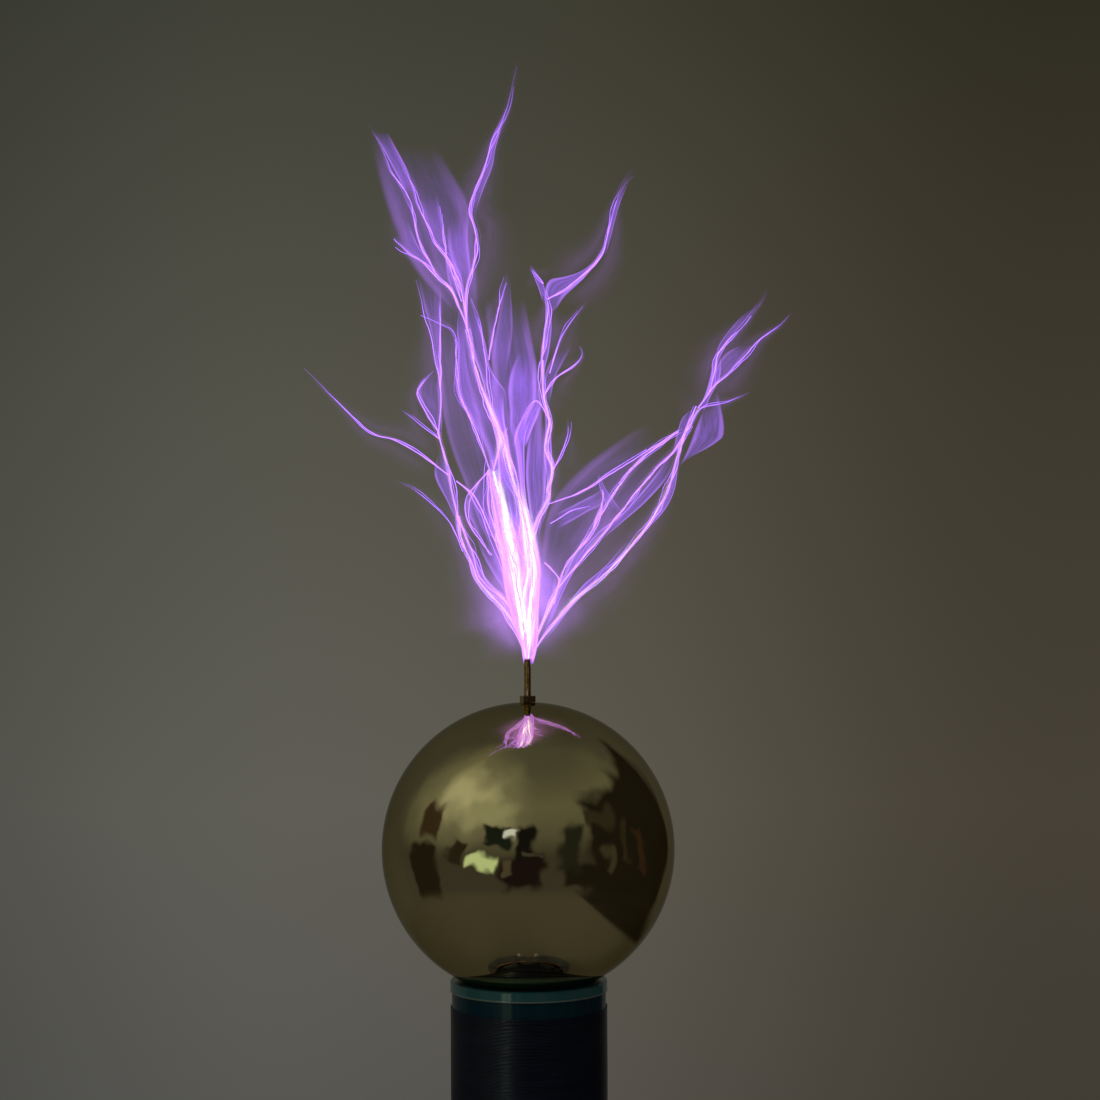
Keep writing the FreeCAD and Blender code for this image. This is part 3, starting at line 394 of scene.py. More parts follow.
def heatRamp(tree, heat):
    ramp = addNode(tree, "ShaderNodeValToRGB", {0: heat})
    stops = ramp.color_ramp.elements
    stops[0].position, stops[0].color = 0.0, rgba(airGlow["cool"])
    stops[1].position, stops[1].color = 1.0, rgba(airGlow["white"])
    for at, colour in ((0.3, airGlow["violet"]), (0.64, airGlow["pink"]), (0.86, airGlow["pale"])):
        stops.new(at).color = rgba(colour)
    return ramp.outputs[0]


def glowShader(name, strength):
    material, tree, shader = startMaterial(name)
    setInputs(shader, Base_Color=(0, 0, 0, 1), Roughness=1.0, Specular_IOR_Level=0.0,
              Emission_Strength=strength)
    return material, tree, shader


def attributeOf(tree, name):
    return addNode(tree, "ShaderNodeAttribute", attribute_name=name).outputs["Fac"]


def makeCoreGlow():
    material, tree, shader = glowShader("airCore", airGlow["coreStrength"])
    heat = attributeOf(tree, "heat")
    place = objectPlace(tree)
    flicker = noiseOf(tree, place, 90.0, 3.0)
    tree.links.new(heatRamp(tree, heat), shader.inputs["Emission Color"])
    bright = times(tree, attributeOf(tree, "fade"), ease(tree, flicker, 0.25, 0.6, 0.35, 1.0))
    tree.links.new(bright, shader.inputs["Alpha"])
    return material


def makeHazeGlow():
    material, tree, shader = glowShader("airHaze", airGlow["hazeStrength"])
    wide = attributeOf(tree, "wide")
    heat = times(tree, attributeOf(tree, "hazeHeat"), minus(tree, 1.0, wide))
    heat = plus(tree, heat, times(tree, wide, airGlow["wideHeat"]))
    tree.links.new(heatRamp(tree, heat), shader.inputs["Emission Color"])
    inside = minus(tree, 1.0, maths(tree, "ABSOLUTE", attributeOf(tree, "across")), clamp=True)
    soft = maths(tree, "POWER", inside, 2.6)
    # the near strips are drawn out into silky lines, the wide ones are plain haze
    weave = firstOf(tree, "ShaderNodeCombineXYZ", {
        0: times(tree, attributeOf(tree, "across"), 3.2),
        1: times(tree, attributeOf(tree, "run"), 0.045),
        2: times(tree, attributeOf(tree, "strip"), 4.7)})
    silk = noiseOf(tree, weave, 1.0, 4.0, Roughness=0.6, Distortion=0.4)
    silk = maths(tree, "MAXIMUM", ease(tree, silk, 0.38, 0.66, 0.05, 1.6), wide)
    soft = times(tree, soft, silk)
    # the wide strips stay clear of the bright middle, which they would only cover
    hollow = ease(tree, inside, 0.95, 0.62)
    soft = times(tree, soft, maths(tree, "MAXIMUM", hollow, minus(tree, 1.0, wide)))
    tree.links.new(times(tree, soft, attributeOf(tree, "fade")), shader.inputs["Alpha"])
    return material


def makeVeilGlow():
    material, tree, shader = glowShader("airVeil", airGlow["veilStrength"])
    sheet = firstOf(tree, "ShaderNodeUVMap", uv_map="veil")
    stretched = firstOf(tree, "ShaderNodeMapping", {"Vector": sheet, "Scale": (6.0, 0.9, 1.0)})
    streaks = noiseOf(tree, stretched, 1.6, 5.0, Roughness=0.62, Distortion=0.5)
    fade = attributeOf(tree, "fade")
    lines = ease(tree, streaks, 0.32, 0.72, 0.45, 1.1)
    # the densest sheets have no gaps, the thin ones brighten softly near their sides and then end
    lines = maths(tree, "MAXIMUM", lines, ease(tree, fade, 0.55, 0.9))
    fromMiddle = maths(tree, "ABSOLUTE", minus(tree, times(tree, attributeOf(tree, "side"),
                                                                       2.0), 1.0))
    rim = times(tree, ease(tree, fromMiddle, 0.5, 0.86), ease(tree, fromMiddle, 1.0, 0.86))
    lines = plus(tree, times(tree, lines, ease(tree, fromMiddle, 1.0, 0.7)),
                  times(tree, rim, 0.7))
    heat = plus(tree, attributeOf(tree, "heat"), times(tree, rim, 0.15))
    tree.links.new(heatRamp(tree, heat), shader.inputs["Emission Color"])
    tree.links.new(times(tree, lines, fade, clamp=True), shader.inputs["Alpha"])
    return material


coreGlow, hazeGlow, veilGlow = makeCoreGlow(), makeHazeGlow(), makeVeilGlow()
made["plasma"] = hazeGlow
print("stage: materials made")


# camera, first, because the streamers are laid out as seen from the front
view = {"side": 11.8 * mm, "distance": 1284 * mm, "aboveBall": 153 * mm, "lens": 82.0, "roll": 0.25}
cameraData = bpy.data.cameras.new("frontCamera")
cameraData.lens, cameraData.sensor_width = view["lens"], 36.0
cameraData.clip_start, cameraData.clip_end = 0.05, 50.0
camera = bpy.data.objects.new("frontCamera", cameraData)
camera.location = (view["side"], -view["distance"], ballCentre.z + view["aboveBall"])
camera.rotation_euler = (math.radians(90), math.radians(view["roll"]), 0)
bpy.context.scene.collection.objects.link(camera)
bpy.context.scene.camera = camera
cameraSpot = Vector(camera.location)


# streamers
# how far each family leans to the rear (+) or front (-) at a height above the tip, in mm
leans = {
    "spine": [(0, 0), (30, -18), (60, -34), (96, -46), (122, -36), (147, -22), (172, -10), (194, 0),
              (209, 7), (232, 14), (252, 22), (273, 30), (312, 30)],
    "leftTop": [(0, 0), (181, 2), (194, 8), (206, 14), (240, 40), (257, 50), (271, 56)],
    "middle": [(0, 0), (30, 6), (60, 13), (88, 18), (112, 22), (134, 24), (155, 26), (190, 28), (212, 30),
               (228, 32), (255, 36)],
    "right": [(0, 0), (20, 6), (35, 14), (66, 28), (90, 42), (116, 57), (130, 68), (155, 76), (176, 84),
              (192, 90)],
    "left": [(0, 0), (22, -4), (34, -10), (46, -18), (63, -26), (80, -32), (97, -36), (116, -38),
             (150, -36), (171, -34), (197, -30)],
    "farLeft": [(90, -34), (97, -37), (113, -42), (119, -46), (137, -50), (152, -52)],
}


def leanAt(family, height):
    steps = leans[family]
    if height <= steps[0][0]:
        return steps[0][1]
    for (lowH, lowY), (highH, highY) in zip(steps, steps[1:]):
        if height <= highH:
            return lowY + (highY - lowY) * (height - lowH) / (highH - lowH)
    return steps[-1][1]


def airPoint(family, x, height, extra=0.0):
    # x and height are as seen from the front; the point is pushed back along the line of sight to its depth
    depth = (leanAt(family, height) + extra) * mm
    seen = tip + Vector((x, 0, height)) * mm
    return cameraSpot + (seen - cameraSpot) * (1 + depth / view["distance"])


# family, strands, spread in mm, heat at the root and the end, haze width in mm, haze strength, points
streams = [
    ("spine", 3, 2.5, 1.0, 0.95, 6.0, 0.2, [(0, 0), (-1, 14), (-4, 29), (-6, 44), (-9, 62), (-13, 84),
     (-15, 104)]),
    ("spine", 3, 2.5, 1.0, 0.95, 5.5, 0.2, [(0, 0), (1, 14), (2, 29), (3, 44), (2, 60), (-1, 76),
     (-5, 92)]),
    ("spine", 7, 5.2, 1.0, 1.0, 4.8, 0.11, [(0, 0), (-4, 29), (-5, 44), (-8, 60), (-13, 80), (-17, 96)]),
    ("spine", 7, 5.4, 1.0, 0.9, 4.8, 0.097, [(0, 0), (-2, 29), (0, 44), (-1, 60), (-4, 80), (-9, 100),
     (-13, 116)]),
    ("spine", 5, 3.8, 1.0, 0.8, 4.1, 0.069, [(0, 0), (-5, 29), (-10, 48), (-15, 62), (-18, 78), (-19, 97)]),
    ("spine", 4, 2.2, 1.0, 0.8, 4.1, 0.069, [(-17, 96), (-14, 108), (-14, 116), (-20, 132), (-25, 146),
     (-28, 157), (-30, 169)]),
    ("leftTop", 3, 1.8, 0.85, 0.3, 3.5, 0.055, [(-30, 169), (-33, 178), (-38, 189), (-45, 195), (-53, 203),
     (-62, 209), (-69, 216)]),
    ("leftTop", 2, 1.4, 0.7, 0.2, 3.0, 0.04, [(-33, 183), (-37, 194), (-41, 205), (-41, 212), (-42, 222),
     (-45, 238)]),
    ("leftTop", 3, 1.6, 0.75, 0.25, 3.5, 0.05, [(-30, 169), (-33, 188), (-37, 199), (-41, 206), (-46, 213),
     (-50, 222), (-55, 233), (-58, 243), (-62, 250), (-67, 261), (-71, 267)]),
    ("leftTop", 3, 1.6, 0.65, 0.1, 3.5, 0.05, [(-46, 197), (-49, 203), (-53, 210), (-56, 219), (-58, 230),
     (-62, 240), (-69, 251), (-75, 265), (-82, 277)]),
    ("spine", 3, 2.0, 0.75, 0.1, 4.1, 0.055, [(-30, 169), (-31, 182), (-30, 192), (-26, 204), (-25, 212),
     (-25, 218), (-28, 228), (-26, 238), (-21, 250), (-18, 261), (-13, 272), (-8, 284), (-5, 300),
     (-4, 308)]),
    ("spine", 4, 2.2, 0.7, 0.3, 3.5, 0.042, [(-19, 97), (-26, 117), (-35, 138), (-36, 164), (-42, 172),
     (-57, 178)]),
    ("spine", 2, 2.0, 0.6, 0.2, 3.0, 0.035, [(-19, 153), (-18, 164), (-13, 184), (-9, 200)]),
    ("spine", 2, 1.6, 0.5, 0.2, 3.0, 0.027, [(-13, 116), (-19, 134), (-23, 172), (-31, 191)]),
    ("middle", 5, 2.5, 1.0, 0.85, 3.5, 0.062, [(0, 0), (1, 29), (3, 64), (11, 81), (11, 87), (13, 98),
     (10, 108), (12, 121), (9, 134), (8, 153)]),
    ("middle", 4, 2.0, 0.85, 0.4, 3.5, 0.055, [(8, 153), (10, 167), (11, 180), (9, 192)]),
    ("middle", 2, 1.3, 0.5, 0.1, 2.4, 0.027, [(9, 192), (5, 197), (2, 201)]),
    ("middle", 3, 1.6, 0.7, 0.1, 3.5, 0.055, [(11, 184), (20, 189), (30, 197), (38, 206), (42, 216),
     (45, 229), (50, 242), (58, 252)]),
    ("middle", 2, 1.3, 0.5, 0.3, 3.0, 0.027, [(12, 121), (5, 132), (-4, 121)]),
    ("middle", 2, 1.6, 0.5, 0.1, 3.0, 0.027, [(12, 146), (18, 164), (25, 175), (34, 186)]),
    ("middle", 2, 1.4, 0.6, 0.2, 3.0, 0.035, [(9, 134), (14, 143), (25, 150), (29, 155), (28, 160)]),
    ("middle", 2, 1.3, 0.5, 0.2, 3.0, 0.027, [(14, 97), (21, 114), (21, 124)]),
    ("right", 4, 2.0, 1.0, 0.8, 3.5, 0.062, [(2, 0), (5, 6), (13, 17), (23, 29), (39, 42), (51, 55),
     (64, 71), (73, 89), (76, 98), (79, 109), (84, 120), (88, 128)]),
    ("right", 3, 1.6, 0.75, 0.1, 3.2, 0.055, [(88, 128), (93, 135), (96, 145), (98, 154), (101, 159),
     (107, 166), (115, 175), (121, 183), (125, 191)]),
    ("right", 3, 1.6, 0.6, 0.1, 3.0, 0.049, [(92, 133), (97, 140), (103, 145), (110, 152), (117, 160),
     (124, 166), (131, 171), (138, 179)]),
    ("right", 2, 2.0, 0.5, 0.1, 3.0, 0.035, [(84, 119), (90, 128), (103, 131), (115, 136)]),
    ("right", 4, 2.0, 1.0, 0.6, 3.5, 0.055, [(2, 0), (6, 14), (16, 36), (23, 51), (34, 66), (39, 76),
     (51, 93), (57, 100), (66, 108), (78, 116)]),
    ("right", 4, 2.0, 0.9, 0.6, 3.5, 0.042, [(16, 36), (29, 52), (43, 69), (53, 81), (66, 97), (75, 106),
     (84, 119)]),
    ("right", 2, 1.4, 0.55, 0.4, 3.0, 0.035, [(11, 79), (28, 85), (43, 95), (53, 101), (78, 116)]),
    ("right", 2, 1.0, 0.4, 0.2, 2.4, 0.02, [(12, 69), (23, 75), (36, 78)]),
    ("right", 2, 1.0, 0.8, 0.4, 3.0, 0.042, [(34, 66), (39, 82), (37, 89)]),
    ("right", 2, 1.3, 0.7, 0.5, 3.0, 0.027, [(9, 49), (13, 45), (16, 40), (13, 28)]),
    ("left", 4, 2.0, 1.0, 0.75, 3.5, 0.055, [(-1, 0), (-6, 15), (-12, 25), (-24, 38), (-28, 48), (-33, 60),
     (-35, 69), (-37, 79), (-40, 94), (-45, 116)]),
    ("left", 2, 2.0, 0.75, 0.15, 3.5, 0.042, [(-45, 116), (-44, 138), (-47, 158), (-52, 178), (-57, 197)]),
    ("left", 2, 1.6, 0.6, 0.2, 3.0, 0.035, [(-45, 116), (-55, 133), (-55, 139), (-47, 148)]),
    ("left", 2, 1.6, 0.5, 0.1, 3.0, 0.027, [(-44, 138), (-44, 164), (-44, 191)]),
    ("farLeft", 2, 1.3, 0.6, 0.15, 2.4, 0.035, [(-40, 94), (-48, 100), (-64, 111), (-79, 116), (-91, 126),
     (-111, 146), (-114, 151)]),
    ("left", 2, 1.0, 0.4, 0.1, 2.4, 0.02, [(-33, 55), (-39, 69), (-48, 79), (-59, 88), (-72, 92)]),
    ("left", 2, 1.0, 0.35, 0.05, 2.4, 0.02, [(-44, 112), (-50, 117), (-59, 124), (-66, 129)]),
    ("left", 4, 2.2, 0.9, 0.6, 3.5, 0.049, [(0, 0), (-5, 14), (-11, 29), (-23, 41), (-29, 57), (-35, 73)]),
    ("left", 2, 2.0, 0.7, 0.5, 3.0, 0.035, [(-36, 91), (-28, 84), (-22, 74), (-16, 60), (-12, 44)]),
    ("spine", 2, 1.6, 0.6, 0.5, 3.0, 0.035, [(-19, 97), (-22, 93), (-30, 83), (-31, 73), (-26, 64),
     (-18, 53)]),
]

strandRule = {"step": 1.5 * mm, "girth": 0.36 * mm, "tipGirth": 0.15 * mm, "sides": 4, "meander": 26.0,
              "jitter": 85.0, "seed": 7}


def streamMesh():
    mesh = bpy.data.meshes.new("streamPaths")
    points, edges, data = [], [], {"heat": [], "spread": [], "strands": [], "along": [], "haze": [],
                               "hazeAlpha": [], "hazeHeat": [], "free": []}
    for family, strands, spread, hot, cool, haze, hazeAlpha, path in streams:
        lengths = [0.0]
        for (ax, ah), (bx, bh) in zip(path, path[1:]):
            lengths.append(lengths[-1] + math.hypot(bx - ax, bh - ah))
        for k, (x, height) in enumerate(path):
            share = lengths[k] / lengths[-1]
            points.append(airPoint(family, x, height))
            if k:
                edges.append((len(points) - 2, len(points) - 1))
            data["heat"].append(hot + (cool - hot) * share)
            data["spread"].append(spread * mm)
            data["strands"].append(float(strands))
            data["along"].append(share)
            data["haze"].append(haze * mm)
            data["hazeAlpha"].append(hazeAlpha)
            data["free"].append(1.0 if cool < 0.45 or hazeAlpha > 0.15 else 0.0)
            here = data["heat"][-1]     # white near the root, violet further out
            data["hazeHeat"].append(min(1.0, here * 0.5 + hazeAlpha * 1.2 + max(0.0, here - 0.84) * 3))
    mesh.from_pydata(points, edges, [])
    for name, values in data.items():
        mesh.attributes.new(name, "FLOAT", "POINT").data.foreach_set("value", values)
    return mesh


def newGeometryTree(name, inputs):
    tree = bpy.data.node_groups.new(name, "GeometryNodeTree")
    tree.interface.new_socket("Geometry", in_out="INPUT", socket_type="NodeSocketGeometry")
    tree.interface.new_socket("Geometry", in_out="OUTPUT", socket_type="NodeSocketGeometry")
    for label, kind, value in inputs:
        tree.interface.new_socket(label, in_out="INPUT",
                                  socket_type="NodeSocket" + kind).default_value = value
    return tree, tree.nodes.new("NodeGroupInput").outputs, tree.nodes.new("NodeGroupOutput").inputs


def named(tree, name):
    return firstOf(tree, "GeometryNodeInputNamedAttribute", {"Name": name}, data_type="FLOAT")


def store(tree, geometry, name, value, domain="POINT"):
    node = addNode(tree, "GeometryNodeStoreNamedAttribute",
                   {"Geometry": geometry, "Name": name, "Value": value}, data_type="FLOAT", domain=domain)
    return node.outputs[0]


def scaled(tree, vector, factor):
    return firstOf(tree, "ShaderNodeVectorMath", {0: vector, "Scale": factor}, operation="SCALE")


def wander(tree, frequency, seedVector):
    # a smooth random offset from -0.5 to 0.5 on each axis
    place = firstOf(tree, "GeometryNodeInputPosition")
    moved = firstOf(tree, "ShaderNodeVectorMath", {0: scaled(tree, place, frequency), 1: seedVector},
                    operation="ADD")
    field = noiseOf(tree, moved, 1.0, 1.0, output=1)
    return firstOf(tree, "ShaderNodeVectorMath", {0: field, 1: (0.5, 0.5, 0.5)}, operation="SUBTRACT")


def asPlainMesh(piece, tree, values, material):
    # runs the tree on the piece, then leaves the result as a plain mesh with no modifier
    modifier = piece.modifiers.new(tree.name, "NODES")
    modifier.node_group = tree
    for item in tree.interface.items_tree:
        if item.in_out == "INPUT" and item.name in values:
            modifier[item.identifier] = values[item.name]
    bpy.context.view_layer.update()
    result = bpy.data.meshes.new_from_object(piece.evaluated_get(bpy.context.evaluated_depsgraph_get()))
    piece.modifiers.remove(modifier)
    piece.data = result
    result.materials.clear()
    result.materials.append(material)
    return piece


def sweep(tree, curve, profile, radius, caps=True):
    node = addNode(tree, "GeometryNodeCurveToMesh", {"Curve": curve, "Profile Curve": profile,
                                                     "Fill Caps": caps})
    if "Scale" in node.inputs:
        tree.links.new(radius, node.inputs["Scale"])
    return node.outputs[0]


def endTree(tree, geometry, material, out):
    real = firstOf(tree, "GeometryNodeRealizeInstances", {"Geometry": geometry})
    finish = firstOf(tree, "GeometryNodeSetMaterial", {"Geometry": real, "Material": material})
    tree.links.new(finish, out["Geometry"])


def pathCopies(tree, given, amount):
    # smooth curves through the mesh's points, each one repeated; also gives each copy's number
    curve = firstOf(tree, "GeometryNodeMeshToCurve", {"Mesh": given["Geometry"]})
    curve = firstOf(tree, "GeometryNodeCurveSplineType", {"Curve": curve}, spline_type="CATMULL_ROM")
    curve = firstOf(tree, "GeometryNodeResampleCurve", {"Curve": curve, "Length": given["Step"]},
                    mode="LENGTH")
    return addNode(tree, "GeometryNodeDuplicateElements", {"Geometry": curve, "Amount": amount},
                   domain="SPLINE").outputs[:2]


def strandTree():
    tree, given, out = newGeometryTree("strandBundle", [
        ("Step", "Float", strandRule["step"]), ("Girth", "Float", strandRule["girth"]),
        ("Tip Girth", "Float", strandRule["tipGirth"]), ("Sides", "Int", strandRule["sides"]),
        ("Meander", "Float", strandRule["meander"]), ("Jitter", "Float", strandRule["jitter"]),
        ("Seed", "Int", strandRule["seed"])])
    copies, number = pathCopies(tree, given, named(tree, "strands"))
    copyNumber = store(tree, copies, "copyNumber", number, "CURVE")
    curve = store(tree, copyNumber, "strandId", firstOf(tree, "GeometryNodeInputIndex"), "CURVE")
    strandId = named(tree, "strandId")
    seeds = firstOf(tree, "ShaderNodeCombineXYZ",
                    {0: times(tree, strandId, 3.71), 1: times(tree, strandId, 1.93),
                     2: plus(tree, strandId, given["Seed"])})
    opening = ease(tree, named(tree, "along"), 0.0, 0.22)
    # the first copy keeps close to the path, the others open out from it
    loose = times(tree, times(tree, named(tree, "spread"), opening),
                  ease(tree, named(tree, "copyNumber"), -0.9, 1.0, 0.0, 4.6))
    broad = scaled(tree, wander(tree, given["Meander"], seeds), loose)
    fine = scaled(tree, wander(tree, given["Jitter"], seeds),
                  times(tree, opening, plus(tree, 0.0016, times(tree, loose, 0.1))))
    shift = firstOf(tree, "ShaderNodeVectorMath", {0: broad, 1: fine}, operation="ADD")
    curve = firstOf(tree, "GeometryNodeSetPosition", {"Geometry": curve, "Offset": shift})
    end = addNode(tree, "FunctionNodeRandomValue", {2: 0.72, 3: 1.0, "ID": strandId, "Seed": given["Seed"]},
                  data_type="FLOAT").outputs[1]
    end = maths(tree, "MAXIMUM", end, minus(tree, 1.0, named(tree, "free")))
    curve = firstOf(tree, "GeometryNodeTrimCurve", {"Curve": curve, "End": end}, mode="FACTOR")
    heat = named(tree, "heat")
    tail = firstOf(tree, "GeometryNodeSplineParameter")
    coolEnd = ease(tree, heat, 0.0, 0.6)
    fade = times(tree, ease(tree, heat, 0.0, 0.55, 0.28, 1.0),
                 maths(tree, "MAXIMUM", coolEnd, ease(tree, tail, 1.0, 0.7)))
    fade = times(tree, fade, ease(tree, named(tree, "copyNumber"), 0.0, 3.0, 1.0, 0.34))
    curve = store(tree, curve, "fade", fade)
    radius = ease(tree, heat, 0.0, 1.0)
    radius = firstOf(tree, "ShaderNodeMapRange", {"Value": radius, "To Min": given["Tip Girth"],
                                                  "To Max": given["Girth"]})
    radius = times(tree, radius, ease(tree, named(tree, "copyNumber"), 0.0, 2.0, 1.0, 0.42))
    curve = firstOf(tree, "GeometryNodeSetCurveRadius", {"Curve": curve, "Radius": radius})
    ring = firstOf(tree, "GeometryNodeCurvePrimitiveCircle", {"Resolution": given["Sides"], "Radius": 1.0})
    endTree(tree, sweep(tree, curve, ring, radius), coreGlow, out)
    return tree


hazeRule = {"step": 3 * mm, "strips": 6, "turn": math.pi / 3, "wideFactor": 8.0, "wideStrength": 0.42}


def hazeTree():
    tree, given, out = newGeometryTree("hazeStrips", [
        ("Step", "Float", hazeRule["step"]), ("Strips", "Int", hazeRule["strips"]),
        ("Turn", "Float", hazeRule["turn"]), ("Wide Factor", "Float", hazeRule["wideFactor"]),
        ("Wide Strength", "Float", hazeRule["wideStrength"])])
    copies, number = pathCopies(tree, given, given["Strips"])
    curve = store(tree, copies, "strip", number, "CURVE")
    turn = times(tree, named(tree, "strip"), given["Turn"])
    curve = firstOf(tree, "GeometryNodeSetCurveTilt", {"Curve": curve, "Tilt": turn})
    spline = addNode(tree, "GeometryNodeSplineParameter").outputs
    tail = spline[0]
    wide = ease(tree, named(tree, "strip"), 2.0, 3.0)       # strips 0 to 2 are near, 3 to 5 wide
    near = minus(tree, 1.0, wide)
    closing = maths(tree, "MAXIMUM", ease(tree, tail, 1.0, 0.7), minus(tree, 1.0, named(tree, "free")))
    closing = times(tree, closing, maths(tree, "MAXIMUM", ease(tree, tail, 1.0, 0.6), near))
    opening = times(tree, ease(tree, tail, 0.0, 0.12, 0.5, 1.0),
                    maths(tree, "MAXIMUM", ease(tree, tail, 0.0, 0.3), near))
    dim = ease(tree, named(tree, "strip"), 2.0, 3.0, 1.0, given["Wide Strength"])
    fade = times(tree, times(tree, named(tree, "hazeAlpha"), dim), times(tree, opening, closing))
    curve = store(tree, curve, "fade", fade)
    curve = store(tree, curve, "wide", wide)
    curve = store(tree, curve, "run", times(tree, spline["Length"], 1 / mm))
    opened = times(tree, named(tree, "haze"), ease(tree, tail, 0.0, 0.2, 0.4, 1.0))
    # the halo is widest over the first half of a stream and closes up towards its tip
    halo = times(tree, given["Wide Factor"], ease(tree, tail, 0.85, 0.15, 0.15, 1.0))
    halo = plus(tree, times(tree, wide, minus(tree, halo, 1.0)), 1.0)
    opened = times(tree, opened, halo)
    curve = firstOf(tree, "GeometryNodeSetCurveRadius", {"Curve": curve, "Radius": opened})
    line = firstOf(tree, "GeometryNodeCurvePrimitiveLine", {"Start": (-1, 0, 0), "End": (1, 0, 0)})
    line = firstOf(tree, "GeometryNodeResampleCurve", {"Curve": line, "Count": 5}, mode="COUNT")
    x = firstOf(tree, "ShaderNodeSeparateXYZ", {0: firstOf(tree, "GeometryNodeInputPosition")})
    line = store(tree, line, "across", x)
    endTree(tree, sweep(tree, curve, line, opened, caps=False), hazeGlow, out)
    return tree


def rideOn(piece, body, slot, *replaced):
    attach(piece, body)
    if replaced:
        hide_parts(*replaced)
    return piece


cores = asPlainMesh(meshObject("streamerCores", streamMesh(), smooth=False), strandTree(), {}, coreGlow)
haze = asPlainMesh(meshObject("streamerHaze", streamMesh(), smooth=False), hazeTree(), {}, hazeGlow)
print("stage: streamers", len(cores.data.polygons), len(haze.data.polygons))

